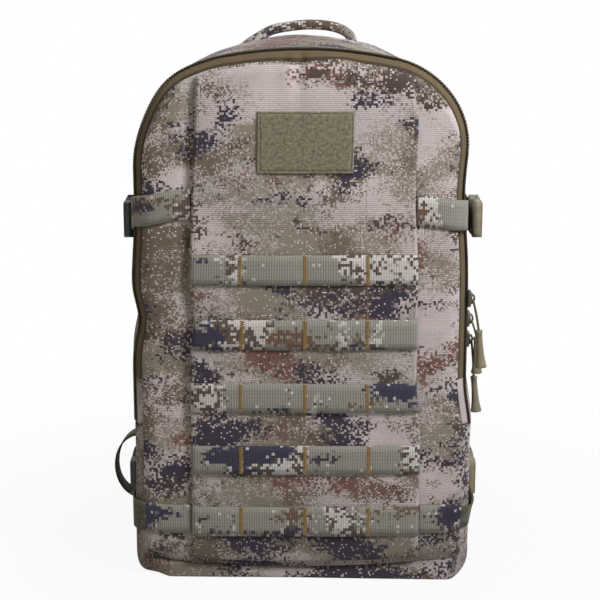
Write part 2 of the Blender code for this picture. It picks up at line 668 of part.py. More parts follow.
def build_shell():
    """The fixed bag: bottom, main compartment, back and the lower part of the front pocket."""
    half = HALF_WIDTH - BOTTOM_SIDE_INSET
    inset = BOTTOM_EDGE_ROUND
    low = rounded_rectangle(-half + inset, half - inset, FLAP_TAPE_BACK_Y + inset, BACK_Y - inset, BOTTOM_PLAN_RADIUS)
    high = rounded_rectangle(-half, half, FLAP_TAPE_BACK_Y, BACK_Y, BOTTOM_PLAN_RADIUS + inset)
    bottom_loops = [
        [(x, y, 0.0) for x, y in low],
        [(x, y, BOTTOM_THICKNESS * 0.6) for x, y in high],
        [(x, y, BOTTOM_THICKNESS) for x, y in high],
    ]
    loft("bottom_panel", bottom_loops, DARK_FABRIC)

    outer = whole_path(0.0)
    inner = whole_path(GUSSET_WALL)
    ring = [at_y(outer, MAIN_FRONT_Y), at_y(outer, MAIN_BACK_Y), at_y(inner, MAIN_BACK_Y), at_y(inner, MAIN_FRONT_Y)]
    loft("main_gusset", ring, FABRIC, ring=True)
    plate("back_panel", outer, BACK_PANEL_FRONT_Y, BACK_Y, FABRIC)

    sheet_back = BACK_PANEL_FRONT_Y - GAP
    sheet_front = sheet_back - FRAME_SHEET_THICKNESS
    plate("frame_sheet", whole_path(FRAME_SHEET_MARGIN), sheet_front, sheet_back, FRAME_PLASTIC)

    sleeve_back = sheet_front - SLEEVE_DEPTH
    sleeve_edge = lower_path(GUSSET_WALL + GAP, SLEEVE_TOP)
    plate("laptop_sleeve", sleeve_edge, sleeve_back - SLEEVE_THICKNESS, sleeve_back, DARK_FABRIC)

    lower_stations = [
        (FLAP_TAPE_FRONT_Y, FRONT_EDGE_INSET),
        (FLAP_TAPE_BACK_Y, FRONT_TAPER),
        (POCKET_TAPE_BACK_Y, FRONT_TAPER),
        (POCKET_BACK_Y, 0.0),
        (MAIN_REAR_TAPE_BACK_Y, 0.0),
    ]
    band("lower_pocket_gusset", lower_path, BELOW_FOLD, lower_stations, FABRIC)
    panel_edge = lower_path(FRONT_EDGE_INSET, BELOW_FOLD)
    plate("lower_front_panel", panel_edge, PANEL_FRONT_Y, PANEL_BACK_Y, FABRIC)
    divider_edge = lower_path(GUSSET_WALL + 2 * GAP, BELOW_FOLD)
    plate("lower_divider", divider_edge, POCKET_BACK_Y - DIVIDER_THICKNESS, POCKET_BACK_Y, DARK_FABRIC)

    rear_stations = [(MAIN_REAR_TAPE_FRONT_Y, 0.0), (MAIN_REAR_TAPE_BACK_Y, 0.0)]
    band("main_zip_rear_tape", upper_path, ABOVE_FOLD, rear_stations, OLIVE_TAPE)

    half = PALS_WIDTH / 2
    base = BODY_BASE + FRONT_EDGE_INSET + PALS_TOP_MARGIN
    lower_field = [(-half, base), (half, base), (half, BELOW_FOLD), (-half, BELOW_FOLD)]
    plate("lower_pals_panel", lower_field, PALS_FRONT_Y, PALS_BACK_Y, FABRIC)
    for number in range(UPPER_ROWS + 1, UPPER_ROWS + LOWER_ROWS + 1):
        webbing_row(number)


def build_back():
    """Foam pads, shoulder straps and the webbing that holds the straps' lower ends."""
    half = LUMBAR_PAD_WIDTH / 2
    cushion("lumbar_pad", -half, half, LUMBAR_PAD_BOTTOM, LUMBAR_PAD_TOP, MESH_FOAM)
    for label, side in (("left", -1), ("right", 1)):
        x0, x1 = sorted((side * BACK_PAD_INNER_X, side * BACK_PAD_OUTER_X))
        cushion(f"back_pad_{label}", x0, x1, BACK_PAD_BOTTOM, BACK_PAD_TOP, MESH_FOAM)
        hinge = pivot(f"shoulder_strap_{label}_hinge", strap_axis(side))
        shoulder_pad(f"shoulder_pad_{label}", side, hinge)
        ladder_lock(f"ladder_lock_{label}", side, hinge)
        shoulder_webbing(f"shoulder_webbing_{label}", side)


def build_pocket(hinge):
    """The upper part of the front compartment, which tips forward when the main zip is open."""
    front_rim = at_y(band_path(front_path, FRONT_TAPER, ABOVE_FOLD), POCKET_FRONT_Y)
    rear_rim = at_y(band_path(upper_path, 0.0, ABOVE_FOLD), POCKET_BACK_Y)
    loft("pocket_gusset", [front_rim, rear_rim], FABRIC, hinge)
    edge = upper_path(GUSSET_WALL + 2 * GAP, ABOVE_FOLD)
    divider_front = POCKET_BACK_Y - DIVIDER_THICKNESS
    plate("pocket_divider", edge, divider_front, POCKET_BACK_Y, DARK_FABRIC, hinge)
    half = ORGANISER_WIDTH / 2
    organiser = rounded_rectangle(-half, half, ORGANISER_BOTTOM, ORGANISER_TOP, ORGANISER_CORNER)
    organiser_back = divider_front - GAP
    plate("organiser_pocket", organiser, organiser_back - ORGANISER_THICKNESS, organiser_back, MESH_FOAM, hinge)
    front_tape = [(POCKET_TAPE_FRONT_Y, FRONT_TAPER), (POCKET_TAPE_BACK_Y, FRONT_TAPER)]
    band("front_zip_pocket_tape", front_path, ABOVE_FOLD, front_tape, OLIVE_TAPE, hinge)
    main_tape = [(MAIN_FRONT_TAPE_FRONT_Y, 0.0), (MAIN_FRONT_TAPE_BACK_Y, 0.0)]
    band("main_zip_pocket_tape", upper_path, ABOVE_FOLD, main_tape, OLIVE_TAPE, hinge)


def build_flap(hinge):
    """The upper front panel with its webbing field, which folds down when the front zip is open."""
    edge = front_path(FRONT_EDGE_INSET, ABOVE_FOLD)
    plate("front_flap_panel", edge, PANEL_FRONT_Y, PANEL_BACK_Y, FABRIC, hinge)
    stations = [(FLAP_TAPE_FRONT_Y, FRONT_EDGE_INSET), (FLAP_TAPE_BACK_Y, FRONT_TAPER)]
    band("front_zip_flap_tape", front_path, ABOVE_FOLD, stations, OLIVE_TAPE, hinge)
    half = PALS_WIDTH / 2
    field = [(-half, ABOVE_FOLD), (half, ABOVE_FOLD)] + pals_top()
    plate("upper_pals_panel", field, PALS_FRONT_Y, PALS_BACK_Y, FABRIC, hinge)
    for number in range(1, UPPER_ROWS + 1):
        webbing_row(number, hinge)
    patch_z = BODY_HEIGHT - PATCH_TOP_DROP
    patch = rounded_rectangle(
        -PATCH_WIDTH / 2, PATCH_WIDTH / 2, patch_z - PATCH_HEIGHT / 2, patch_z + PATCH_HEIGHT / 2, PATCH_CORNER
    )
    patch_back = PALS_FRONT_Y - GAP
    plate("loop_patch", patch, patch_back - PATCH_THICKNESS, patch_back, LOOP_PILE, hinge)


def build_straps(flap_hinge):
    """Four compression straps, each with a side-release buckle."""
    for label, side, finish in (("left", -1, DARK_PLASTIC), ("right", 1, OLIVE_PLASTIC)):
        compression_strap(f"upper_strap_{label}", side, UPPER_STRAP_Z, UPPER_BUCKLE_Z, flap_hinge)
        low_row = row_height(UPPER_ROWS + LOWER_ROWS)
        compression_strap(f"lower_strap_{label}", side, low_row, LOWER_BUCKLE_Z)
        for level, z in (("upper", UPPER_BUCKLE_Z), ("lower", LOWER_BUCKLE_Z)):
            rear_webbing(f"{level}_rear_webbing_{label}", side, z)
            buckle_socket(f"{level}_buckle_socket_{label}", side, z, finish)
            guide = pivot(f"{level}_buckle_{label}_slide", (side * BUCKLE_SIDE_X, BUCKLE_JOIN_Y, z))
            buckle_tongue(f"{level}_buckle_tongue_{label}", side, z, finish, guide)
    strap_tail("lower_strap_tail_left", -1)


def build_zips():
    """Three sliders on the right side's straight run, each with its own pull."""
    front_plane = FLAP_TAPE_BACK_Y + GAP / 2
    main_plane = MAIN_FRONT_TAPE_BACK_Y + GAP / 2
    front_side = HALF_WIDTH - FRONT_TAPER
    runs = (
        (1, front_side, front_plane, FRONT_SLIDER_Z, FRONT_CORD_LENGTH, 0.0),
        (2, HALF_WIDTH, main_plane, MAIN_UPPER_SLIDER_Z, MAIN_UPPER_CORD_LENGTH, -PULL_SPLAY),
        (3, HALF_WIDTH, main_plane, MAIN_LOWER_SLIDER_Z, MAIN_LOWER_CORD_LENGTH, PULL_SPLAY),
    )
    for number, side_x, y, z, cord_length, splay in runs:
        guide = pivot(f"zip_slider_{number}_slide", (side_x, y, z))
        zip_slider(number, side_x, y, z, guide)
        hinge = pivot(f"zip_pull_{number}_hinge", pull_axis(side_x, y, z))
        zip_pull(number, side_x, y, z, cord_length, splay, hinge)


def main():
    clear_scene()
    pocket_hinge = pivot("front_pocket_hinge", (0, FOLD_Y, FOLD_Z))
    flap_hinge = pivot("front_flap_hinge", (0, FOLD_Y, FOLD_Z))
    build_shell()
    build_back()
    build_pocket(pocket_hinge)
    build_flap(flap_hinge)
    build_straps(flap_hinge)
    build_zips()
    carry_handle(pivot("carry_handle_hinge", handle_axis()))


main()
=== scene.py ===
# %% [markdown]
# # A camouflage field pack, dressed piece by piece
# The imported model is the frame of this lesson: every panel, strap and buckle already has its place in
# metres, with the front towards -Y and the floor at z = 0. Each plain solid is replaced by cloth, webbing,
# zip or moulded plastic that rides on the same body. The box of the plain model is kept from the start,
# so that the dressed pack can be compared with it at the end.

# %% Load the frame
from math import atan2, copysign, cos, exp, pi, radians, sin, sqrt

import bmesh
import bpy
from mathutils import Matrix, Vector, noise


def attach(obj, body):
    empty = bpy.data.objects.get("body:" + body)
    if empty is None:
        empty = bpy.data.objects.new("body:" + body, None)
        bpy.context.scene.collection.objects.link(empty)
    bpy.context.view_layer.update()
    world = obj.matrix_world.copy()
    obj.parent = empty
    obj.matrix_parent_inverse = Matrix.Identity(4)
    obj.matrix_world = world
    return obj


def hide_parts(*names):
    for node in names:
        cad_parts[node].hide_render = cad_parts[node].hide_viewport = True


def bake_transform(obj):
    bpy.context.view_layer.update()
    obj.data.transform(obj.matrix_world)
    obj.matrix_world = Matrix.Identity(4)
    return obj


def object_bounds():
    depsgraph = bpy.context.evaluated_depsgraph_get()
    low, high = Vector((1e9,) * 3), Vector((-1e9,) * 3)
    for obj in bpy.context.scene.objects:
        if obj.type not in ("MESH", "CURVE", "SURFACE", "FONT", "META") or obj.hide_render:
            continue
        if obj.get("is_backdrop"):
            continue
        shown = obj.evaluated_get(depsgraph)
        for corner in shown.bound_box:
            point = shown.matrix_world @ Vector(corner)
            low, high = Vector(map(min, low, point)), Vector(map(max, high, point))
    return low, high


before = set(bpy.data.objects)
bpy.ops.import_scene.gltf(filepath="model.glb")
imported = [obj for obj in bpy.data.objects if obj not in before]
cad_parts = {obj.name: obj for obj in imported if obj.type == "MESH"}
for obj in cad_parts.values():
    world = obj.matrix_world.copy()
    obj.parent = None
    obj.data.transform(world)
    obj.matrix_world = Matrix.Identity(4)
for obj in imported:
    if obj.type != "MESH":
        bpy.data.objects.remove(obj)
cad_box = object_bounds()
scene = bpy.context.scene

# %% [markdown]
# ## Camera
# The five webbing rows are all 25 mm high, yet the lowest looks smaller than the highest. That places the
# camera about 1.2 m in front of the pack, a little above it and tilted down by 13 degrees.


# %% Place the camera
def put(name, data):
    """A new object in the scene."""
    made = bpy.data.objects.new(name, data)
    scene.collection.objects.link(made)
    return made


lens = bpy.data.cameras.new("camera")
lens.sensor_width, lens.lens = 36, 92.5
camera = put("camera", lens)
camera.location = (-0.0025, -1.32, 0.53)
camera.rotation_euler = (radians(76.9), 0, 0)
scene.camera = camera
scene.view_settings.view_transform = "Standard"
print("camera", tuple(camera.location))

# %% [markdown]
# ## Shader helpers
# Every finish is built from nodes, so a few small functions keep the recipes short: one adds any node, the
# others do arithmetic, lay a colour over another or stretch a range. Colours are written as they look on screen.


# %% Shader helpers
def linear(red, green, blue):
    """A screen colour in the linear values that shaders take."""
    return tuple(((c / 255 + 0.055) / 1.055) ** 2.4 for c in (red, green, blue)) + (1.0,)


def knot(kind, values, output=0, tree=None, **settings):
    """Adds one node, in the tree of the outputs that it takes, or in a named one. Gives back one output."""
    joined = {key: value for key, value in values.items() if isinstance(value, bpy.types.NodeSocket)}
    tree = tree or next(iter(joined.values())).id_data
    made = tree.nodes.new("ShaderNode" + kind)
    for key, value in settings.items():
        setattr(made, key, value)
    for key, value in values.items():
        if key in joined:
            tree.links.new(value, made.inputs[key])
        else:
            made.inputs[key].default_value = value
    return made.outputs[output]


def compute(operation, first, second=0.0, third=0.0):
    return knot("Math", {0: first, 1: second, 2: third}, operation=operation)


def lay(share, under, over, style="MIX"):
    return knot("Mix", {0: share, 6: under, 7: over}, 2, data_type="RGBA", blend_type=style)


def clouds(place, scale, detail, roughness=0.5):
    return knot("TexNoise", {"Vector": place, "Scale": scale, "Detail": detail, "Roughness": roughness})


def ramp(value, start, end, low=0.0, high=1.0):
    """Goes from low to high while a value goes from start to end."""
    limits = {"From Min": start, "From Max": end, "To Min": low, "To Max": high}
    return knot("MapRange", {"Value": value, **limits})


def shade(colour, value, low, high):
    """Darkens a colour where a value is low."""
    return lay(1.0, colour, ramp(value, 0.0, 1.0, low, high), "MULTIPLY")


def place_of(shader, output):
    """UV follows the cloth in metres; Object is the place in the pack."""
    return knot("TexCoord", {}, output, shader.id_data)


FINISHES = {}


def new_finish(name, roughness, sheen=0.0, metallic=0.0):
    """A finish with an empty recipe; gives back its shader."""
    material = FINISHES[name] = bpy.data.materials.new(name)
    material.use_nodes = True
    shader = material.node_tree.nodes["Principled BSDF"]
    levels = {"Roughness": roughness, "Sheen Weight": sheen, "Metallic": metallic, "Specular IOR Level": 0.3}
    for key, value in levels.items():
        shader.inputs[key].default_value = value
    return shader


def surface(shader, colour, height, strength, depth):
    """Joins a colour and a height to the shader."""
    tree = shader.id_data
    tree.links.new(colour, shader.inputs["Base Color"])
    bump = knot("Bump", {"Height": height, "Strength": strength, "Distance": depth})
    tree.links.new(bump, shader.inputs["Normal"])


print("shader helpers ready")

# %% [markdown]
# ## Printed camouflage
# The cloth carries a generic pixel camouflage: soft clouds of grey-green and olive on a pinkish tan, and over
# them sideways blotches of brown, rust and near-black whose edges break up into squares of about a millimetre.
# An image would do it, but nodes can print it without end: the cloth's own UV, in metres, is snapped to
# squares, a stretched noise decides each ink, and a random number per square frays its edge.


# %% Camouflage ink and weave
def camouflage(place, cell, ground, inks, bare):
    """Lays inks over a ground; each is colour, share of the cell, frequency across and up, level, fray, softness."""
    def snapped(size):
        return knot("VectorMath", {0: place, 1: (size, size, size)}, operation="SNAP")

    def chance(where, seed):
        return knot("TexWhiteNoise", {"Vector": where, "W": seed}, noise_dimensions="4D")

    printed = compute("GREATER_THAN", chance(snapped(cell), 31.5), bare)
    colour = linear(*ground)
    for number, (ink, share, across, upward, level, fray, soft) in enumerate(inks):
        squares = snapped(cell * share)
        stretch = {0: squares, 1: (across, upward, across), 2: (number * 7.3, number * 3.1, 0)}
        cloud = clouds(knot("VectorMath", stretch, operation="MULTIPLY_ADD"), 1.0, 3.0, 0.55)
        frayed = compute("MULTIPLY_ADD", chance(squares, number + 0.5), fray, -fray / 2)
        inside = ramp(compute("ADD", cloud, frayed), level - soft, level + soft)
        colour = lay(compute("MULTIPLY", inside, printed), colour, linear(*ink))
    return colour


def threads(place, warp, weft, share=0.5):
    """The height of a plain weave from its two thread pitches; share is the part of the warp in it."""
    def wave(axis, pitch):
        turned = compute("MULTIPLY", knot("SeparateXYZ", {0: place}, axis), 2 * pi / pitch)
        return compute("MULTIPLY_ADD", compute("SINE", turned), 0.5, 0.5)

    across = compute("MULTIPLY", wave(1, weft), 1 - share)
    return compute("MULTIPLY_ADD", wave(0, warp), share, across)


CLOTH_INKS = (
    ((166, 157, 152), 1.0, 8, 13, 0.51, 0.08, 0.12),
    ((130, 121, 105), 1.0, 10, 16, 0.53, 0.12, 0.04),
    ((104, 91, 76), 1.0, 14, 22, 0.575, 0.14, 0.02),
    ((108, 78, 66), 1.5, 12, 18, 0.625, 0.12, 0.02),
    ((74, 61, 53), 1.5, 16, 25, 0.61, 0.13, 0.015),
    ((50, 45, 56), 1.5, 12, 18, 0.59, 0.11, 0.015),
)
shader = new_finish("camo_cloth", 0.88, sheen=0.15)
place = place_of(shader, "UV")
weave = threads(place, 0.0011, 0.0016, 0.25)
colour = camouflage(place, 0.0012, (192, 178, 174), CLOTH_INKS, 0.045)
colour = shade(shade(colour, weave, 0.83, 1.08), clouds(place, 800.0, 2.0), 0.84, 1.16)
# Painted shade: the cloth darkens towards the bottom, to 70 % at the floor and fully bright from 11 cm up, for the
# shade low on the pack.
height = knot("SeparateXYZ", {0: place_of(shader, "Object")}, 2)
colour = shade(colour, compute("MULTIPLY", height, 9.0), 0.70, 1.0)
surface(shader, shade(colour, clouds(place, 22.0, 4.0), 0.86, 1.10), weave, 0.5, 0.0004)
print("cloth inks", len(CLOTH_INKS))

# %% [markdown]
# ## Webbing, tape and the other finishes
# Webbing is woven with ribs across its length, and its print is coarser than the cloth's. The zip tape is a
# plain coyote twill, the patch a speckled loop pile, the pads an open spacer mesh. Plastic and metal get a
# fine grain, so that no surface is one flat colour.


# %% Webbing finishes
def ribbed_webbing(name, ground, inks):
    shader = new_finish(name, 0.8, sheen=0.1)
    place = place_of(shader, "UV")
    ribs = threads(place, 0.0021, 0.0031, 0.75)
    colour = shade(camouflage(place, 0.0024, ground, inks, 0.02), ribs, 0.76, 1.10)
    surface(shader, shade(colour, clouds(place, 700.0, 2.0), 0.86, 1.14), ribs, 0.7, 0.0005)


WEBBING_INKS = (
    ((80, 69, 60), 1.0, 60, 90, 0.53, 0.34, 0.01),
    ((134, 131, 119), 1.0, 13, 5, 0.475, 0.05, 0.01),
    ((96, 76, 61), 1.0, 12, 30, 0.635, 0.12, 0.01),
    ((50, 46, 62), 1.0, 11, 32, 0.635, 0.10, 0.01),
)
ribbed_webbing("camo_webbing", (186, 180, 173), WEBBING_INKS)
ribbed_webbing("olive_webbing", (82, 80, 60), (((66, 64, 48), 1.0, 30, 60, 0.55, 0.3, 0.05),))
print("webbing finishes 2")


# %% Tape, thread and lining
def plain_weave(name, colour, second, warp, weft, roughness=0.85):
    """One dyed cloth with a weave and a slow drift to a second colour."""
    shader = new_finish(name, roughness, sheen=0.1)
    place = place_of(shader, "UV")
    weave = threads(place, warp, weft)
    shown = lay(clouds(place, 60.0, 5.0), linear(*colour), linear(*second))
    surface(shader, shade(shown, weave, 0.80, 1.06), weave, 0.4, 0.0003)


plain_weave("zip_tape", (108, 92, 66), (90, 77, 54), 0.0009, 0.0014)
# Painted shade: a darker tape for the inner strip of the flap's tape, where the panel's edge overhangs it.
plain_weave("tape_hem", (74, 62, 44), (60, 50, 36), 0.0009, 0.0014)
plain_weave("lining", (86, 83, 66), (72, 70, 56), 0.0012, 0.0012, 0.7)
plain_weave("tack_thread", (138, 112, 64), (112, 90, 50), 0.0006, 0.0006, 0.6)
plain_weave("seam_thread", (150, 138, 118), (128, 114, 94), 0.0006, 0.0006, 0.6)
plain_weave("pull_cord", (112, 102, 72), (92, 84, 60), 0.0011, 0.0016, 0.75)
print("woven finishes", len(FINISHES))

# %% Loop pile and spacer mesh
shader = new_finish("loop_pile", 1.0, sheen=0.3)
place = place_of(shader, "UV")
loops = knot("TexVoronoi", {"Vector": place, "Scale": 900.0})
tufts = clouds(place, 330.0, 4.0, 0.75)
colour = lay(ramp(tufts, 0.3, 0.7), linear(82, 77, 60), linear(142, 134, 110))
surface(shader, shade(colour, loops, 1.1, 0.75), tufts, 0.9, 0.0008)

shader = new_finish("spacer_mesh", 0.9, sheen=0.2)
net = knot("TexVoronoi", {"Vector": place_of(shader, "Object"), "Scale": 330.0, "Randomness": 0.25})
# Painted shade: the openings of the mesh are painted near-black for the shade inside them; the walls between keep the
# mesh's grey.
wall = ramp(net, 0.25, 0.45)
surface(shader, lay(wall, linear(20, 20, 18), linear(66, 66, 58)), wall, 0.8, 0.0008)
print("pile and mesh", len(FINISHES))


# %% Plastic and metal
def grained(name, colour, second, roughness, metallic=0.0):
    """A moulded or painted surface with a fine grain and rubbed, lighter spots."""
    shader = new_finish(name, roughness, metallic=metallic)
    place = place_of(shader, "Object")
    spots = ramp(clouds(place, 140.0, 5.0, 0.65), 0.48, 0.72)
    shown = lay(spots, linear(*colour), linear(*second))
    surface(shader, shown, clouds(place, 900.0, 3.0), 0.25, 0.0002)


grained("dark_plastic", (44, 50, 46), (64, 68, 60), 0.45)
grained("olive_plastic", (120, 113, 92), (138, 130, 108), 0.5)
grained("frame_plastic", (48, 48, 46), (60, 60, 58), 0.5)
grained("slider_metal", (84, 80, 66), (120, 114, 98), 0.42, metallic=0.6)
grained("coil_nylon", (62, 54, 40), (82, 72, 54), 0.4)
print("all finishes", len(FINISHES))

# %% [markdown]
# ## The bag's outline
# Everything soft follows one of two outlines: the body's, and the front zip's rim, which is a little narrower
# and squarer at its corners. Each has straight sides, two rounded top corners, the left one drooping more,
# and an arch between them. A rim function gives a point at a distance along the outline, pulled in by an
# inset and anywhere between the two outlines, so that panels, zips and side cloths share their edges.

# %% Two outlines
HALF, HEIGHT, BASE, FOLD_Z = 0.140, 0.447, 0.0083, 0.135
TAPER, LOW_CORNER = 0.0045, 0.030


def arched(half, top, arch, right, left):
    """An arched edge: its sizes, its two corners as radius, height and turn, and the lengths of its runs."""
    corners = []
    for radius in (right, left):
        rise = sqrt((arch - radius) ** 2 - (half - radius) ** 2)
        corners.append((radius, top - arch + rise, atan2(rise, half - radius)))
    (_, right_z, right_turn), (_, left_z, left_turn) = corners
    over = pi - right_turn - left_turn
    runs = (right_z - FOLD_Z, right * right_turn, arch * over, left * left_turn, left_z - FOLD_Z)
    return {"half": half, "arch": arch, "arch_z": top - arch, "right": corners[0], "left": corners[1], "runs": runs}


BODY_EDGE = arched(HALF, HEIGHT, 0.200, 0.068, 0.085)
FRONT_RIM = arched(HALF - TAPER, HEIGHT + 0.0005, 0.340, 0.078, 0.090)
UPPER_RUNS = BODY_EDGE["runs"]
LOW_SIDE = FOLD_Z - BASE - LOW_CORNER
LOWER_RUNS = (LOW_SIDE, LOW_CORNER * pi / 2, 2 * (HALF - LOW_CORNER), LOW_CORNER * pi / 2, LOW_SIDE)
UPPER_LENGTH, LOWER_LENGTH = sum(UPPER_RUNS), sum(LOWER_RUNS)
print("rim above the fold", round(UPPER_LENGTH, 3), "below", round(LOWER_LENGTH, 3))


# %% Points on an outline
def on_arc(x, z, radius, turn):
    return x + radius * cos(turn), z + radius * sin(turn)


def walk(runs, way):
    """The run in which a way along an outline ends, and the share of that run."""
    run = 0
    while run < 4 and way > runs[run]:
        way -= runs[run]
        run += 1
    return run, way / runs[run]


def arch_point(edge, inset, run, share):
    """A point of an arched edge: side, corner, arch, corner or side, and the share of that run."""
    half, (right, right_z, right_turn), (left, left_z, left_turn) = edge["half"], edge["right"], edge["left"]
    if run == 0:
        return half - inset, FOLD_Z + (right_z - FOLD_Z) * share
    if run == 1:
        return on_arc(half - right, right_z, right - inset, right_turn * share)
    if run == 2:
        turn = right_turn + (pi - right_turn - left_turn) * share
        return on_arc(0, edge["arch_z"], edge["arch"] - inset, turn)
    if run == 3:
        return on_arc(left - half, left_z, left - inset, pi - left_turn * (1 - share))
    return inset - half, left_z - (left_z - FOLD_Z) * share


def upper_rim(inset, way, front=0.0):
    """From the fold on the right, over the top, to the fold on the left; front is 1 on the front rim."""
    run, share = walk(UPPER_RUNS, way)
    x, z = arch_point(BODY_EDGE, inset, run, share)
    front_x, front_z = arch_point(FRONT_RIM, inset, run, share)
    return x + (front_x - x) * front, z + (front_z - z) * front


def lower_rim(inset, way, front=0.0):
    """From the fold on the left, under the bottom, to the fold on the right, with squarer corners further in."""
    inset += TAPER * front
    half, low, corner = HALF - inset, BASE + inset, LOW_CORNER - 2 * inset
    run, share = walk(LOWER_RUNS, way)
    if run == 0:
        return -half, FOLD_Z + (low + corner - FOLD_Z) * share
    if run == 1:
        return on_arc(corner - half, low + corner, corner, pi * (1 + share / 2))
    if run == 2:
        return (half - corner) * (2 * share - 1), low
    if run == 3:
        return on_arc(half - corner, low + corner, corner, pi * (3 + share) / 2)
    return half, low + corner + (FOLD_Z - low - corner) * share


def whole_rim(inset, way, front=0.0):
    if way <= UPPER_LENGTH:
        return upper_rim(inset, way, front)
    return lower_rim(inset, way - UPPER_LENGTH, front)


def edge_height(edge, x, inset):
    """Height of an inset arched edge above a place between the sides."""
    radius, middle_z, turn = edge["right"] if x > 0 else edge["left"]
    if abs(x) <= (edge["arch"] - inset) * cos(turn):
        return edge["arch_z"] + sqrt((edge["arch"] - inset) ** 2 - x * x)
    out = min(abs(x) - (edge["half"] - radius), radius - inset)
    return middle_z + sqrt(max(0.0, (radius - inset) ** 2 - out * out))


def low_edge(x, inset):
    """Height of the lower rim below a place between the sides."""
    corner = LOW_CORNER - 2 * inset
    out = min(max(0.0, abs(x) - (HALF - inset - corner)), corner)
    return BASE + inset + corner - sqrt(corner**2 - out * out)


print("front rim at its top", round(edge_height(FRONT_RIM, 0, 0), 4))

# %% [markdown]
# ## How a filled bag settles
# A sewn bag never stands as its pattern was cut. It is filled to the left, where its rim bulges below the
# upper strap, with one fold drawn in at the middle; on the right the upper strap draws it in, and low down
# it bulges too. Its base spreads on the floor, and its front seam sags. A few small functions hold this
# drift, and most soft pieces are passed through them, so that neighbours move together.


# %% Settling of the bag
def smooth(value):
    value = min(1.0, max(0.0, value))
    return value * value * (3 - 2 * value)


def hump(value, middle, width):
    return exp(-(((value - middle) / width) ** 2))


def bulge(left, z):
    """How far the front rim stands outside its pattern, on the left or on the right."""
    if left:
        out = 0.0016 * smooth((0.40 - z) / 0.05) + 0.0042 * smooth((0.32 - z) / 0.08)
        return out + 0.0014 * smooth((0.12 - z) / 0.08) - 0.0056 * hump(z, 0.226, 0.020)
    return 0.0058 * smooth((0.175 - z) / 0.05) - 0.0046 * hump(z, 0.330, 0.042)


def settle(x, y, z):
    """Where a point of the pattern ends up on the filled bag."""
    held = hump(z, 0.074, 0.030)
    back = smooth((y + 0.045 + 0.036 * held) / (0.10 - 0.075 * held))
    out = bulge(x < 0, z) * (1 - back) * x / HALF
    low = smooth((0.05 - z) / 0.04)
    front = 1 - smooth((y + 0.0885) / 0.009)
    sag = (z - 0.0015) * (1 - front) + 0.012 * (1 - (x / 0.135) ** 2) * front
    sunk = 0.003 * smooth((z - 0.37) / 0.05) * hump(y, -0.031, 0.014)
    full = 0.0034 * hump(x, -0.106, 0.024) * hump(z, 0.410, 0.036) * (1 - back)
    return Vector((x + out - 0.4 * full, y, z - low * sag - sunk + full))


def free_of_straps(z):
    """1 where the side cloth may swell, 0 where a compression strap holds it."""
    return max(0.0, 1 - hump(z, 0.305, 0.034) - hump(z, 0.072, 0.034))


def flutter(x, y, z, size):
    """A slow, repeatable wrinkle from -1 to 1; size is its length in metres."""
    return noise.noise(Vector((x, y, z)) / size)


def turned(edge, reach):
    """Rises from 0 at an edge to 1 a reach away from it, as a turned hem does."""
    return 1 - (1 - min(1.0, edge / reach)) ** 2


def ease_to_edges(share):
    """Spreads grid lines so that more of them lie near both edges."""
    return 0.5 - 0.5 * cos(pi * share)


print("left rim bulges by", round(bulge(True, 0.18), 4))

# %% [markdown]
# ## Cloth from a grid
# A sewn panel starts as flat cloth, so each one starts as a flat grid. A place function carries every
# grid point to the bag, and the UV keeps the distance in metres, which is what the print and the weave
# read. Solidify gives the cloth its thickness, and finish_piece hides the solid it stands for and ties it to its body.

# %% Cloth helper
CLOTH, BAND, THIN = 0.0015, 0.0014, 0.0012


def as_mesh(build, name):
    mesh = bpy.data.meshes.new(name)
    build.to_mesh(mesh)
    build.free()
    return mesh


def finish_piece(build, name, finishes, body, node=None, thickness=0.0, levels=0):
    """Makes an object of a bmesh, gives it its finishes and ties it to the frame."""
    mesh = as_mesh(build, name)
    finishes = finishes.split()
    for finish in finishes:
        mesh.materials.append(FINISHES[finish])
    mesh.polygons.foreach_set("use_smooth", [True] * len(mesh.polygons))
    piece = put(name, mesh)
    if thickness:
        wall = piece.modifiers.new("thickness", "SOLIDIFY")
        wall.thickness = thickness
        wall.offset = -1
    if levels:
        rounded = piece.modifiers.new("rounding", "SUBSURF")
        rounded.levels = rounded.render_levels = levels
    if body:
        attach(piece, body)
    if node:
        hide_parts(node)
    return piece


def span(place, points):
    """Length of a line of grid points once they are placed, in metres."""
    spots = [place(u, v) for u, v in points]
    return sum((b - a).length for a, b in zip(spots, spots[1:]))


def cloth_grid(columns, rows, place, start=(0.0, 0.0), closed=False, facing=False, even=False):
    """A flat grid carried to its place; u and v run from 0 to 1, and u x v points outwards.

    The print follows the cloth, evenly where it is asked for, or, on a piece facing the front, runs on from
    one piece to the next."""
    build = bmesh.new()
    flat = build.loops.layers.uv.new("UVMap")
    bmesh.ops.create_grid(build, x_segments=columns, y_segments=rows, size=0.5)
    wide = span(place, [(i / columns, 0.5) for i in range(columns + 1)])
    tall = span(place, [(0.5, i / rows) for i in range(rows + 1)])
    shares = {vert: (vert.co.x + 0.5, vert.co.y + 0.5) for vert in build.verts}
    for vert, (u, v) in shares.items():
        vert.co = place(u, v)
    rise, spots = {}, {share: vert.co for vert, share in shares.items()}
    for u, v in sorted(spots) if even else ():
        rise[u, v] = rise[last] + (spots[u, v] - spots[last]).length if rise and last[0] == u else 0.0
        last = (u, v)
    for face in build.faces:
        for corner in face.loops:
            u, v = shares[corner.vert]
            along = (corner.vert.co.x, corner.vert.co.z) if facing else (u * wide, rise[u, v] if even else v * tall)
            corner[flat].uv = (start[0] + along[0], start[1] + along[1])
    if closed:
        bmesh.ops.remove_doubles(build, verts=build.verts, dist=1e-6)
    return build


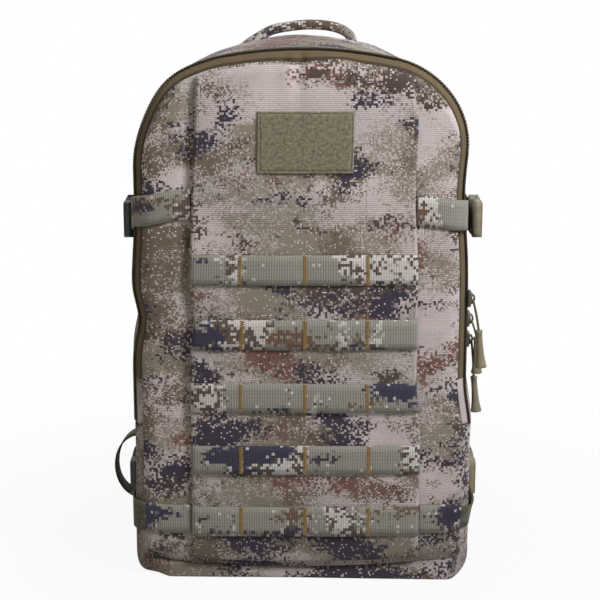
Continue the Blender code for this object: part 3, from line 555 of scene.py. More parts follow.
def tube(columns, sides, place, start=(0.0, 0.0)):
    """A grid rolled up, with both ends filled."""
    build = cloth_grid(columns, sides, place, start, closed=True)
    bmesh.ops.holes_fill(build, edges=[e for e in build.edges if e.is_boundary], sides=0)
    return build


def sew(name, size, place, start, finishes, body, node=None, thickness=0.0, **style):
    return finish_piece(cloth_grid(*size, place, start, **style), name, finishes, body, node, thickness)


print("cloth helper ready")

# %% [markdown]
# ## Front panel and webbing field
# The upper front is a flap that folds down at z = 0.135, the lower front stays. Both share one height map:
# the edge turns back to the zip, the middle swells a little, and the cloth puckers under the zip at the top.
# The webbing field is a second layer on top, a few millimetres proud with a turned edge.

# %% Front height map
EDGE, FOLD_GAP = 0.0072, 0.00004
FRONT_HALF = HALF - TAPER - EDGE
LOW_INSET = TAPER + EDGE
FIELD_MID, FIELD_HALF, FIELD_MARGIN = 0.0022, 0.0916, 0.0016
FIELD_LOW = BASE + LOW_INSET + 0.004
TACKS = (-0.0495, 0.0016, 0.0526)
ROW_HEIGHTS = (0.2705, 0.2165, 0.1625, 0.1085, 0.0545)


def field_edges(z):
    """The two sides of the webbing field at a height; it narrows towards its top."""
    near = smooth((z - 0.30) / 0.13)
    right = FIELD_MID + FIELD_HALF - 0.0015 * near - 0.0045 * smooth((z - 0.385) / 0.035)
    return FIELD_MID - FIELD_HALF + 0.0046 * near, right


def slack(x):
    """How far the flap's upper edge hangs below its rim: a little between the corners, more where it is gathered."""
    hang = 0.0022 * max(0.0, 1 - (x / 0.115) ** 2) ** 2
    return hang + 0.0016 * hump(x, -0.004, 0.011) - 0.0018 * hump(x, 0.030, 0.013)


def flap_top(x, inset):
    return edge_height(FRONT_RIM, x, inset) - slack(x)


def front_y(x, z):
    """Depth of the front cloth."""
    below_top = max(0.0, flap_top(x, EDGE) - z)
    hem = turned(max(0.0, min(FRONT_HALF - abs(x), below_top, z - low_edge(x, LOW_INSET))), 0.010)
    swell = 0.0034 * sin(pi * min(1.0, max(0.0, (z - 0.02) / 0.425))) * (1 - (x / 0.14) ** 2)
    pucker = 0.0011 * flutter(x, 0.3, z * 0.4, 0.022) * exp(-below_top / 0.035)
    pucker += 0.0007 * flutter(x, 0.7, z, 0.035) * smooth(abs(z - FOLD_Z) / 0.03)
    dents = 0.003 * hump(x, -0.004, 0.005) + 0.0018 * hump(x, -0.022, 0.007) + 0.0016 * hump(x, 0.094, 0.006)
    beside = field_edges(z)[0] - x
    groove = 0.003 * smooth(beside / 0.002) * smooth((0.014 - beside) / 0.010)
    groove *= 0.35 + 0.65 * smooth((z - 0.09) / 0.08)
    return -0.088 - 0.0036 * hem - swell + pucker + groove * hem + dents * exp(-below_top / 0.022)


def field_y(x, z):
    """Depth of the webbing field, which lies on the front cloth and ends in a turned edge."""
    left, right = field_edges(z)
    edge = min(x - left, right - x, z - FIELD_LOW)
    return front_y(x, z) - 0.0008 - 0.003 * turned(max(0.0, edge), 0.0022)


print("front face at the middle", round(front_y(0, 0.3), 4))

# %% Front cloth and webbing field
ABOVE, BELOW = (lambda x: FOLD_Z + FOLD_GAP), (lambda x: FOLD_Z - FOLD_GAP)


def front_place(low, high, field):
    """A panel of the front or of the field between two heights; its rows crowd where it is turned."""
    def place(u, v):
        share = 1 - cos(v * pi / 2) if high is BELOW else sin(v * pi / 2)
        across = ease_to_edges(u)
        x = FIELD_MID + FIELD_HALF * (2 * across - 1) if field else FRONT_HALF * (2 * across - 1)
        if field:
            left, right = field_edges(low(x) + (high(x) - low(x)) * share)
            x = left + (right - left) * across
        z = low(x) + (high(x) - low(x)) * share
        return settle(x, field_y(x, z) if field else front_y(x, z), z)
    return place


FRONT = ((2.181, 1.947), CLOTH, False)
FIELD = ((0.738, 0.747), THIN, True)
for name, size, low, high, (cut_at, thickness, field), body, node in (
    ("flap_cloth", (96, 96), ABOVE, lambda x: flap_top(x, EDGE) + FOLD_GAP, FRONT, "front_flap", "front_flap_panel"),
    ("lower_front_cloth", (96, 44), lambda x: low_edge(x, LOW_INSET), BELOW, FRONT, "pack", "lower_front_panel"),
    ("upper_field_cloth", (90, 90), ABOVE, lambda x: flap_top(x, EDGE + FIELD_MARGIN), FIELD,
     "front_flap", "upper_pals_panel"),
    ("lower_field_cloth", (90, 36), lambda x: FIELD_LOW, BELOW, FIELD, "pack", "lower_pals_panel"),
):
    panel = cloth_grid(*size, front_place(low, high, field), cut_at, facing=True)
    for edge in panel.edges:
        edge.smooth = not edge.is_boundary or any(abs(vert.co.z - FOLD_Z) > 0.001 for vert in edge.verts)
    finish_piece(panel, name, "camo_cloth", body, node, thickness)
print("front cloth done")

# %% [markdown]
# ## Webbing rows and their tacks
# Five rows of 25 mm webbing cross the field. Each is sewn down at three bar tacks and at its ends, and
# bows out between them, so that gear can be woven through the loops. A bar tack is a dense zigzag of
# thread, built here from one small stitch that is repeated.

# %% Webbing rows
WEB = 0.025
ROW_PRINTS = ((0.446, 1.933), (0.221, 1.939), (2.318, 2.014), (2.546, 0.523), (0.419, 1.318))


def row_y(x, z):
    """Depth of a row's outer face: it touches the field at the tacks and bows out between them."""
    stops = (FIELD_MID - FIELD_HALF, *TACKS, FIELD_MID + FIELD_HALF)
    bow = sum(0.0007 * sin(pi * (x - a) / (b - a)) for a, b in zip(stops, stops[1:]) if a <= x < b)
    return field_y(x, z) - 0.0015 - bow


def row_place(height):
    def place(u, v):
        side = 2 * u - 1
        inner = FIELD_MID + (FIELD_HALF - 0.0005) * side
        return settle(FIELD_MID + FIELD_HALF * side, row_y(inner, height), height + WEB * (v - 0.5))
    return place


for number, (height, cut_at) in enumerate(zip(ROW_HEIGHTS, ROW_PRINTS), 1):
    body, node = "front_flap" if height > FOLD_Z else "pack", f"webbing_row_{number}"
    sew(f"field_webbing_{number}", (72, 4), row_place(height), cut_at, "camo_webbing", body, node, BAND)
print("webbing rows", len(ROW_HEIGHTS))


# %% Stitches
def grain_mesh(length, width, rise):
    """One stitch: a short rounded grain of thread along Z."""
    build = bmesh.new()
    bmesh.ops.create_uvsphere(build, u_segments=6, v_segments=4, radius=0.5)
    bmesh.ops.scale(build, vec=(width, rise, length), verts=build.verts)
    return as_mesh(build, "grain")


def scatter(seed, matrices):
    """Repeats a small mesh at many places in one bmesh."""
    build = bmesh.new()
    for matrix in matrices:
        copy = seed.copy()
        copy.transform(matrix)
        build.from_mesh(copy)
        bpy.data.meshes.remove(copy)
    return build


def tack_stitches(height):
    """A zigzag of stitches up each tack of a row."""
    for middle in TACKS:
        for step in range(25):
            spot = settle(middle, row_y(middle, height) - 0.0001, height - 0.0115 + step * 0.023 / 24)
            yield Matrix.Translation(spot) @ Matrix.Rotation(radians(78 if step % 2 else -78), 4, "Y")


tack = grain_mesh(0.0046, 0.001, 0.0008)
for body, heights in (("front_flap", ROW_HEIGHTS[:3]), ("pack", ROW_HEIGHTS[3:])):
    spots = [spot for height in heights for spot in tack_stitches(height)]
    finish_piece(scatter(tack, spots), f"bar_tacks_{body}", "tack_thread", body)
    print("tack stitches on", body, len(spots))

# %% [markdown]
# ## Loop patch
# The olive field on the flap takes a hook-backed badge. It is a plain rectangle of loop pile, sewn round
# its edge, so it is a fine grid whose loops are raised by a quick noise and whose rim is pulled flat by
# the seam.

# %% Loop patch
PATCH_MID, PATCH_HALF, PATCH_TALL, PATCH_Z = 0.0022, 0.039, 0.050, 0.374
PATCH_SEAM = 0.0022


def patch_place(u, v):
    x = PATCH_MID + PATCH_HALF * (2 * u - 1)
    z = PATCH_Z + PATCH_TALL * (v - 0.5)
    edge = min(PATCH_HALF - abs(x - PATCH_MID), PATCH_TALL / 2 - abs(z - PATCH_Z))
    sewn = 0.0009 * hump(edge, PATCH_SEAM, 0.0007)
    loops = 0.00025 * noise.noise(Vector((x, 0.5, z)) * 900)
    return settle(x, field_y(x, z) - 0.0022 * turned(edge, 0.0012) + sewn + loops, z)


sew("loop_patch_pile", (150, 96), patch_place, (0.1, 0.1), "loop_pile", "front_flap", "loop_patch", THIN)
print("patch", PATCH_HALF * 2, "by", PATCH_TALL)

# %% Seams on the field and round the patch
PITCH = 0.004
SEAMS = (0.019, *((x - FIELD_MID + FIELD_HALF) / (2 * FIELD_HALF) for x in TACKS), 0.981)


def upright_seams(shares, low, high):
    """Running stitches up the field, left out where a webbing row covers them."""
    for share in shares:
        for step in range(int((high - low) / PITCH)):
            z = low + PITCH / 2 + step * PITCH
            left, right = field_edges(z)
            x = left + (right - left) * share
            if all(abs(z - height) > 0.0145 for height in ROW_HEIGHTS):
                yield Matrix.Translation(settle(x, field_y(x, z) - 0.0001, z))


def patch_seam():
    """Running stitches round the patch, a little inside its edge."""
    half, tall = PATCH_HALF - PATCH_SEAM, PATCH_TALL / 2 - PATCH_SEAM
    level, upright = Matrix.Rotation(pi / 2, 4, "Y"), Matrix.Identity(4)
    for step in range(19):
        x = PATCH_MID - half + 0.002 + step * (2 * half - 0.004) / 18
        yield from ((x, PATCH_Z - tall, level), (x, PATCH_Z + tall, level))
    for step in range(12):
        z = PATCH_Z - tall + 0.002 + step * (2 * tall - 0.004) / 11
        yield from ((PATCH_MID - half, z, upright), (PATCH_MID + half, z, upright))


stitch = grain_mesh(0.003, 0.0006, 0.0005)
for body, low, high in (("front_flap", FOLD_Z + 0.002, 0.346), ("pack", FIELD_LOW + 0.002, FOLD_Z - 0.002)):
    spots = list(upright_seams(SEAMS, low, high))
    if body == "front_flap":
        spots += upright_seams((SEAMS[0], SEAMS[-1]), 0.348, 0.410)
        for x, z, turn in patch_seam():
            spots.append(Matrix.Translation(settle(x, field_y(x, z) - 0.0014, z)) @ turn)
    finish_piece(scatter(stitch, spots), f"field_seams_{body}", "seam_thread", body)
    print("seam stitches on", body, len(spots))

# %% [markdown]
# ## Side cloth and zips
# Behind the front edge the bag is a stack of bands that all follow the rim: the front zip's two tapes, the
# pocket's side cloth, the main zip's two tapes and the main side cloth. Each band is a grid whose u runs
# along the rim and whose v runs from its rear edge to its front edge.

# %% Bands along the rim
FLAP_FRONT, FLAP_BACK = -0.0873, -0.0793
POCKET_TAPE, POCKET_FRONT, POCKET_BACK = (-0.0790, -0.0730), -0.0727, -0.0387
MAIN_TAPE, REAR_TAPE = (-0.0384, -0.0324), (-0.0321, -0.0261)
MAIN_FRONT, MAIN_BACK, BACK_Y = -0.0258, 0.0822, 0.0865
GAP = 0.0002


def band_place(rim, start, end, stations, swell=0.0, wrinkle=0.0):
    """Stations run from the rear edge to the front edge, each a depth, a share of the front rim and an inset."""
    def place(u, v):
        way = start + (end - start) * u
        step = min(int(v * (len(stations) - 1)), len(stations) - 2)
        share = v * (len(stations) - 1) - step
        y, front, inset = (a + (b - a) * share for a, b in zip(stations[step], stations[step + 1]))
        x, z = rim(inset, way, front)
        free = free_of_straps(z)
        inset -= sin(pi * v) * (swell * free + wrinkle * (0.1 + 0.9 * free) * flutter(x, y, z, 0.03))
        x, z = rim(inset, way, front)
        return settle(x, y, z)
    return place


OVER = (upper_rim, GAP, UPPER_LENGTH - GAP)
AROUND = (whole_rim, 0.0, UPPER_LENGTH + LOWER_LENGTH)
PLAIN = (0.0, 0.0)
for name, run, size, rear, front, finish, cut_at, body, node, swell, wrinkle in (
    ("pocket_side_cloth", OVER, (260, 14), (POCKET_BACK, 0.0), (POCKET_FRONT, 1.0),
     "camo_cloth", (1.913, 0.003), "front_pocket", "pocket_gusset", 0.0, 0.0012),
    ("front_tape_rear", OVER, (260, 4), (POCKET_TAPE[1], 1.0), (POCKET_TAPE[0], 1.0),
     "zip_tape", PLAIN, "front_pocket", "front_zip_pocket_tape", 0.0, 0.0003),
    ("main_tape_front", OVER, (260, 4), (MAIN_TAPE[1], 0.0), (MAIN_TAPE[0], 0.0),
     "zip_tape", PLAIN, "front_pocket", "main_zip_pocket_tape", 0.0, 0.0003),
    ("main_tape_rear", OVER, (260, 4), (REAR_TAPE[1], 0.0), (REAR_TAPE[0], 0.0),
     "zip_tape", PLAIN, "pack", "main_zip_rear_tape", 0.0, 0.0003),
    ("main_side_cloth", AROUND, (400, 26), (MAIN_BACK, 0.0), (MAIN_FRONT, 0.0),
     "camo_cloth", (-0.222, 0.438), "pack", "main_gusset", 0.003, 0.0018),
):
    place = band_place(*run, ((*rear, 0.0), (*front, 0.0)), swell, wrinkle)
    sew(name, size, place, cut_at, finish, body, node, BAND, closed=run is AROUND)
print("bands along the rim 5")

# %% Lower side cloth and its roll
lower_stations = (
    (REAR_TAPE[1], 0.0, 0.0), (POCKET_BACK, 0.0, 0.0), (POCKET_TAPE[1], 1.0, 0.0), (FLAP_BACK, 1.0, 0.0),
    (FLAP_FRONT, 1.0, EDGE),
)
lower_side = band_place(lower_rim, GAP, LOWER_LENGTH - GAP, lower_stations, 0.0, 0.001)


def rolled_place(u, v):
    """The lower side cloth; under the front panel's seam it rolls out over the floor, more on the right."""
    spot = lower_side(u, v)
    corner = smooth(((0.144 if spot.x > 0 else 0.134) - abs(spot.x)) / 0.022)
    roll = sin(pi * max(0.0, 4 * v - 3)) ** 0.8 * smooth((0.030 - spot.z) / 0.018) * corner
    spot.y -= (0.0085 + 0.012 * spot.x + 0.035 * max(0.0, spot.x)) * roll
    spot.z += (0.0006 - spot.z) * 0.85 * roll
    return spot


sew("lower_pocket_side_cloth", (160, 48), rolled_place, (0.6, 2.2), "camo_cloth", "pack", "lower_pocket_gusset", BAND,
    even=True)
print("lower side cloth comes forward to", round(rolled_place(0.5, 0.9).y, 4))

# %% Front zip's outer tape
TAPE_END = 0.174


def flap_tape_place(u, v):
    """The broad tape that rings the flap; it puckers where the flap's cloth is gathered."""
    way = GAP + (UPPER_LENGTH - 2 * GAP) * u
    x, z = upper_rim(EDGE, way, 1.0)
    inset = 0.0015 + (EDGE + slack(x) * smooth((z - 0.38) / 0.03) + 0.001) * v
    round_out = 0.0012 * 0.7 * sin(pi * v)
    folds = 0.0032 * hump(x, -0.001, 0.0035) + 0.002 * hump(x, -0.014, 0.004) - 0.0012 * hump(x, -0.0075, 0.0035)
    gather = 0.001 * flutter(x, 0.2, z, 0.016) * v + folds * v * smooth((z - 0.40) / 0.02)
    x, z = upper_rim(inset - round_out, way, 1.0)
    return settle(x, FLAP_BACK + (FLAP_FRONT + 0.0022 - FLAP_BACK) * v - round_out + gather, z)


tape = cloth_grid(420, 12, flap_tape_place)
flat = tape.loops.layers.uv.active
broad = max(corner[flat].uv.y for face in tape.faces for corner in face.loops)
for face in tape.faces:
    # Painted shade: the tape's inner strip, under the panel's edge, takes the darker tape for the shade of the groove
    # there.
    hem = min(corner[flat].uv.y for corner in face.loops) > 0.55 * broad
    face.material_index = 1 if face.calc_center_median().z < TAPE_END else 2 if hem else 0
finish_piece(tape, "front_tape_flap", "zip_tape camo_cloth tape_hem", "front_flap", "front_zip_flap_tape", THIN)
print("flap tape is covered below", TAPE_END)

# %% Zip teeth
TOOTH_PITCH = 0.0018
FRONT_ZIP, MAIN_ZIP = -0.07915, -0.03225


def round_edges(build, edges, offset, segments=3):
    bmesh.ops.bevel(
        build, geom=list(edges), offset=offset, affect="EDGES", segments=segments, profile=0.5, material=-1
    )


def edges_along(verts, axis):
    """Edges of a block that run along one axis."""
    found = {e for v in verts for e in v.link_edges}
    return [e for e in found if abs((e.verts[1].co - e.verts[0].co).normalized()[axis]) > 0.99]


def tooth_mesh():
    """One tooth: a small bar with rounded long edges, across the gap between two tapes."""
    build = bmesh.new()
    bmesh.ops.create_cube(build, size=1.0)
    bmesh.ops.scale(build, vec=(0.0016, 0.0026, 0.0009), verts=build.verts)
    round_edges(build, [e for e in build.edges if abs((e.verts[0].co - e.verts[1].co).y) > 0.002], 0.0003, 2)
    return as_mesh(build, "tooth")


def teeth_along(y, front, first):
    """Places for every second tooth of a zip."""
    for number in range(int(UPPER_LENGTH / TOOTH_PITCH) - 1):
        way = first + number * TOOTH_PITCH
        x, z = upper_rim(0.0, way, front)
        ahead_x, ahead_z = upper_rim(0.0, way + 0.0004, front)
        turn = pi / 2 - atan2(ahead_z - z, ahead_x - x)
        yield Matrix.Translation(settle(x, y, z)) @ Matrix.Rotation(turn, 4, "Y")


tooth = tooth_mesh()
for zip_name, y, front, bodies in (
    ("front", FRONT_ZIP, 1.0, ("front_flap", "front_pocket")), ("main", MAIN_ZIP, 0.0, ("front_pocket", "pack")),
):
    for body, first, reach in zip(bodies, (0.0006, 0.0015), (-0.0007, 0.0007)):
        teeth = scatter(tooth, teeth_along(y + reach, front, first))
        finish_piece(teeth, f"{zip_name}_teeth_{body.removeprefix('front_')}", "coil_nylon", body)
print("zip teeth a run", int(UPPER_LENGTH / TOOTH_PITCH) - 1)

# %% [markdown]
# ## Back, bottom and lining
# The back is one panel behind the frame sheet, and the bottom a boot of the same cloth that the pack stands
# on. Inside, two walls divide the compartments, with an organiser pocket and a sleeve. They show only when
# the flaps are open, but they are cloth too.

# %% Back and bottom
BOOT_HALF, BOOT_BACK, BOOT_DEEP = 0.114, 0.0835, 0.1535


def back_place(u, v):
    """The back panel, from right to left as seen from the front."""
    x = HALF * (1 - 2 * ease_to_edges(u))
    low, high = low_edge(x, 0.0), edge_height(BODY_EDGE, x, 0.0)
    z = low + (high - low) * ease_to_edges(v)
    edge = max(0.0, min(HALF - abs(x), high - z, z - low))
    return Vector((x, 0.0826 + 0.0039 * turned(edge, 0.010), z))


def bottom_place(u, v):
    """The boot: flat where it stands, turned up at its rim to meet the side cloth."""
    x = BOOT_HALF * (1 - 2 * ease_to_edges(u))
    y = BOOT_BACK - BOOT_DEEP * ease_to_edges(v)
    edge = min(BOOT_HALF - abs(x), BOOT_BACK - y, y - BOOT_BACK + BOOT_DEEP)
    return Vector((x, y, 0.0009 * (1 - turned(edge, 0.009))))


sew("back_cloth", (70, 90), back_place, (2.0, 0.3), "camo_cloth", "pack", "back_panel", CLOTH)
sew("bottom_cloth", (60, 40), bottom_place, (2.6, 0.3), "camo_cloth", "pack", "bottom_panel", 0.0006)
print("back and bottom done")

# %% Walls, sleeve and organiser
WALL = 0.0042


def wall_place(y, low, high, sag):
    """A lining wall between two edges of the bag."""
    def place(u, v):
        x = (HALF - WALL) * (2 * ease_to_edges(u) - 1)
        z = low(x) + (high(x) - low(x)) * v
        return settle(x, y + sag * sin(pi * u) * sin(pi * v) * flutter(x, y, z, 0.05), z)
    return place


def wall_low(x):
    return low_edge(x, WALL)


def organiser_place(u, v):
    """A patch pocket on the wall, sewn at the sides and the bottom, with a slack upper edge."""
    x, z = 0.090 * (2 * u - 1), 0.160 + 0.130 * v
    loose = 0.0018 * sin(pi * u) * smooth(v)
    return Vector((x, -0.0416 - loose * (1 + 0.4 * flutter(x, 0, z, 0.03)), z))


upper_wall = wall_place(-0.04, lambda x: FOLD_Z + 0.0003, lambda x: edge_height(BODY_EDGE, x, WALL), 0.001)
lower_wall = wall_place(-0.04, wall_low, lambda x: FOLD_Z - 0.0003, 0.001)
sleeve = wall_place(0.0592, wall_low, lambda x: 0.300, 0.0016)
for name, size, place, cut_at, body, node, thickness in (
    ("pocket_wall", (40, 40), upper_wall, (0.3, 0.2), "front_pocket", "pocket_divider", 0.001),
    ("lower_wall", (40, 40), lower_wall, (0.3, 0.2), "pack", "lower_divider", 0.001),
    ("sleeve_cloth", (40, 40), sleeve, (0.3, 0.2), "pack", "laptop_sleeve", 0.001),
    ("organiser_cloth", (36, 24), organiser_place, (0.7, 0.2), "front_pocket", "organiser_pocket", 0.0009),
):
    sew(name, size, place, cut_at, "lining", body, node, thickness)
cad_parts["frame_sheet"].data.materials.clear()
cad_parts["frame_sheet"].data.materials.append(FINISHES["frame_plastic"])
print("lining walls done")

# %% [markdown]
# ## Compression straps
# Two straps on each side start at the webbing field, turn the front corner and run back to a side-release
# buckle. Webbing keeps its width and bends only along its length, so each strap is a line of points with a
# direction for its width, and the grid follows both.

# %% Straps along a line
SIDES = (("left", -1), ("right", 1))
STRAP_Z = {"upper": 0.303, "lower": 0.076}
UPRIGHT = Vector((0, 0, WEB))
TWISTED = {3: Vector((0.003, -0.003, 0.024)), 4: Vector((0.009, -0.005, 0.022)), 5: Vector((0.004, 0.0, 0.024))}
STRAP_PRINTS = {
    ("left", "upper"): (2.808, 2.062), ("left", "lower"): (0.465, 2.614),
    ("right", "upper"): (2.0925, 0.322), ("right", "lower"): (0.4575, 2.557),
}


def through(points, share):
    """A smooth line through points, at a share of its way."""
    count = len(points) - 1
    step = min(int(share * count), count - 1)
    t = share * count - step
    before, start = points[max(step - 1, 0)], points[step]
    end, after = points[step + 1], points[min(step + 2, count)]
    bend = (before * 2 - start * 5 + end * 4 - after) * t * t + (start * 3 - before - end * 3 + after) * t**3
    return (start * 2 + (end - before) * t + bend) * 0.5


def webbing_place(line, widths):
    """Webbing whose middle follows a line and whose edges lie to both sides of it."""
    return lambda u, v: through(line, u) + through(widths, u) * (v - 0.5)


def side_line(side, start_z, end_z, ease):
    """Outer face of a compression strap, from the field round the corner to the buckle; it rises late."""
    stops = (
        (side * FIELD_MID + FIELD_HALF + 0.0005, None, 0.0), (0.103, None, 0.2), (0.114, None, 0.4),
        (0.123, None, 0.52), (FRONT_HALF + 0.0028, -0.0895, 0.58), (HALF - TAPER + 0.0022, FLAP_BACK - 0.001, 0.66),
        (HALF + 0.0006, -0.057, 0.84), (HALF + 0.0019, POCKET_BACK, 0.95), (HALF + 0.0019, -0.0345, 1.0),
    )
    line = []
    for x, y, share in stops:
        z = start_z + (end_z - start_z) * share**ease
        line.append(settle(side * x, front_y(side * x, z) - 0.0018 if y is None else y, z))
    return line


for label, side in SIDES:
    for level, start_z, ease, body in (
        ("upper", 0.3210 - side * 0.0025, 2.2, "front_flap"), ("lower", ROW_HEIGHTS[-1], 4.5, "pack"),
    ):
        end_z = STRAP_Z[level]
        line, widths = side_line(side, start_z, end_z, ease), [UPRIGHT] * 9
        if (label, level) == ("right", "lower"):
            widths = [TWISTED.get(stop, UPRIGHT) for stop in range(9)]
            line[3].y, line[4].y = line[3].y - 0.0025, line[4].y - 0.0035
        rear = [Vector((side * (HALF + 0.0021), y, end_z)) for y in (-0.025, 0.01, 0.045, 0.0815)]
        if side < 0:
            line, widths, rear = line[::-1], widths[::-1], rear[::-1]
        strap = cloth_grid(60, 4, webbing_place(line, widths), STRAP_PRINTS[label, level])
        for face in strap.faces:
            past_front = abs(face.calc_center_median().x) > FRONT_HALF + 0.0045
            face.material_index = 1 if level == "lower" and past_front else 0
        node = f"{level}_strap_{label}"
        finish_piece(strap, f"{node}_webbing", "camo_webbing olive_webbing", body, node, BAND)
        node, place = f"{level}_rear_webbing_{label}", webbing_place(rear, [UPRIGHT] * 4)
        sew(f"{node}_band", (30, 4), place, (0.0, end_z), "olive_webbing", "pack", node, BAND)
print("compression straps 4")

# %% Spare end on the left
TAIL_X = -0.1412
turns = [pi * step / 12 for step in range(13)]
tail_line = [
    Vector((TAIL_X - 0.0285 * sin(turn) ** 0.8, 0.0185 - 0.004 * sin(turn), 0.067 + 0.031 * cos(turn)))
    for turn in turns
]
tail = webbing_place(tail_line[::-1], [Vector((0.0, WEB * 0.97, -0.004 * sin(turn))) for turn in turns])
sew("lower_strap_spare_end", (40, 4), tail, (0.3, 0.1), "olive_webbing", "pack", "lower_strap_tail_left", BAND)
print("spare end stands off by", round(TAIL_X - min(point.x for point in tail_line), 4))

# %% [markdown]
# ## Side-release buckles
# Each buckle has a socket with two windows, where the prongs snap in, and a tongue with a guide and two
# arms. They are moulded, so both start as a block that is given round corners by bevels, cut by a plane and
# hollowed by insets. The same functions make all four.

# %% Buckle halves
BUCKLE_X0, BUCKLE_X1, JOIN_Y = 0.1422, 0.1497, -0.034


def block(build, low, high):
    """A box between two corners; gives back its vertices."""
    low, high = Vector(low), Vector(high)
    matrix = Matrix.Translation((low + high) / 2) @ Matrix.Diagonal((*(high - low), 1.0))
    return bmesh.ops.create_cube(build, size=1.0, matrix=matrix)["verts"]


def rounded_block(build, low, high, offset, segments):
    """A box whose edges are all rounded."""
    round_edges(build, {e for v in block(build, low, high) for e in v.link_edges}, offset, segments)


def press_in(build, direction, margin, depth, part=lambda centre: True):
    """Insets the faces that look one way and pushes them in, as a mould's core does."""
    faces = [f for f in build.faces if f.normal.dot(direction) > 0.98 and part(f.calc_center_median())]
    bmesh.ops.inset_region(build, faces=faces, thickness=margin, use_even_offset=True)
    moved = {v for f in faces for v in f.verts}
    bmesh.ops.translate(build, vec=-direction * depth, verts=list(moved))


def moulded(side, z, near, far, tall, corner, cores, lip, split, windows):
    """One half of a buckle: a rounded block with cores in its ends, a raised lip, and windows beside a split."""
    build = bmesh.new()
    x0, x1 = sorted((side * BUCKLE_X0, side * BUCKLE_X1))
    verts = block(build, (x0, JOIN_Y + near, z - tall), (x1, JOIN_Y + far, z + tall))
    round_edges(build, edges_along(verts, 0), corner, 4)
    build.normal_update()
    for direction, margin, depth in cores:
        press_in(build, Vector(direction), margin, depth)
    out, split_y = Vector((side, 0, 0)), JOIN_Y + split
    press_in(build, out, lip, -0.0002)
    whole = build.verts[:] + build.edges[:] + build.faces[:]
    bmesh.ops.bisect_plane(build, geom=whole, plane_co=(0, split_y, 0), plane_no=(0, 1, 0))
    for beyond, margin, depth in windows:
        press_in(build, out, margin, depth, lambda centre: (centre.y > split_y) == beyond)
    return build


def socket(side, z):
    cores = (((0, 0, 1), 0.0016, 0.0022), ((0, 0, -1), 0.0016, 0.0022), ((0, -1, 0), 0.0012, 0.004))
    windows = ((True, 0.0022, 0.0022), (False, 0.0026, 0.0007))
    return moulded(side, z, 0.0003, 0.0263, 0.0155, 0.0045, cores, 0.0014, 0.0165, windows)


def tongue(side, z):
    build = moulded(side, z, -0.018, 0.0, 0.015, 0.004, (), 0.0013, -0.006, ((False, 0.0024, 0.0024),))
    middle = side * (BUCKLE_X0 + BUCKLE_X1) / 2
    for low, high in ((-0.0072, -0.0045), (-0.0014, 0.0014), (0.0045, 0.0072)):
        near, far = (middle - 0.0015, JOIN_Y - 0.001, z + low), (middle + 0.0015, JOIN_Y + 0.0085, z + high)
        rounded_block(build, near, far, 0.0006, 2)
    return build


for label, side, finish in (("left", -1, "dark_plastic"), ("right", 1, "olive_plastic")):
    for level, z in STRAP_Z.items():
        name = f"{level}_buckle_{label}"
        finish_piece(socket(side, z), f"{name}_case", finish, "pack", f"{level}_buckle_socket_{label}")
        finish_piece(tongue(side, z), f"{name}_prongs", finish, name, f"{level}_buckle_tongue_{label}")
print("buckles 4")

# %% [markdown]
# ## Zip sliders and pulls
# Three sliders sit on the right side, one on the front zip and two on the main zip. Each has a shield-shaped
# body and a wire bridge; a doubled cord runs through the bridge to a trumpet-shaped grip. Cord and bridge
# are grids wrapped round a line, and the grip is a profile that is spun once round its axis.


# %% Sliders, cords and grips
def wrapped(columns, sides, line, radius, start=(0.0, 0.0)):
    """A round bar along a line of points, closed at both ends."""
    def place(u, v):
        along = (through(line, min(1.0, u + 0.01)) - through(line, max(0.0, u - 0.01))).normalized()
        side = along.cross(Vector((0.3, 0.9, 0.2))).normalized()
        turn = -2 * pi * v
        return through(line, u) + (side * cos(turn) + along.cross(side) * sin(turn)) * radius
    return tube(columns, sides, place, start)


def slider(x, y, z):
    """A flat shield on the tapes, narrower at its lower end, and the bridge that holds the pull."""
    build = bmesh.new()
    verts = block(build, (x + 0.0003, y - 0.0045, z - 0.007), (x + 0.003, y + 0.0045, z + 0.007))
    for vert in verts:
        if vert.co.z < z:
            vert.co.y = y + (vert.co.y - y) * 0.62
    round_edges(build, edges_along(verts, 0), 0.0018)
    build.normal_update()
    press_in(build, Vector((1, 0, 0)), 0.0008, -0.0003)
    for vert in block(build, (x + 0.003, y - 0.0019, z - 0.0044), (x + 0.0042, y + 0.0019, z + 0.0044)):
        vert.co.y = y + (vert.co.y - y) * 0.8
    arch = [Vector((x + 0.003 + 0.003 * sin(pi * i / 8), y, z + 0.004 * cos(pi * i / 8))) for i in range(9)]
    build.from_mesh(as_mesh(wrapped(20, 8, arch, 0.0009), "bridge"))
    return build


GRIP_PROFILE = (
    (0.0, 0.0), (0.0022, 0.0), (0.003, 0.0006), (0.003, 0.0022), (0.0026, 0.003), (0.0026, 0.008), (0.0028, 0.015),
    (0.0033, 0.022), (0.0041, 0.028), (0.0048, 0.0312), (0.0046, 0.032), (0.0038, 0.0318), (0.003, 0.03),
    (0.0, 0.0296),
)


def grip(top, lean):
    """A trumpet, turned from its profile of radius and distance below the top, that leans out a little."""
    build = bmesh.new()
    chain = [build.verts.new(top + Vector((radius, 0, -drop))) for radius, drop in GRIP_PROFILE]
    edges = [build.edges.new(pair) for pair in zip(chain, chain[1:])]
    bmesh.ops.spin(
        build, geom=chain + edges, cent=top, axis=(0, 0, 1), angle=2 * pi, steps=20, use_merge=True, use_duplicate=False
    )
    bmesh.ops.remove_doubles(build, verts=build.verts, dist=1e-6)
    bmesh.ops.recalc_face_normals(build, faces=build.faces)
    bmesh.ops.rotate(build, cent=top, matrix=Matrix.Rotation(-lean, 3, "Y"), verts=build.verts)
    return build


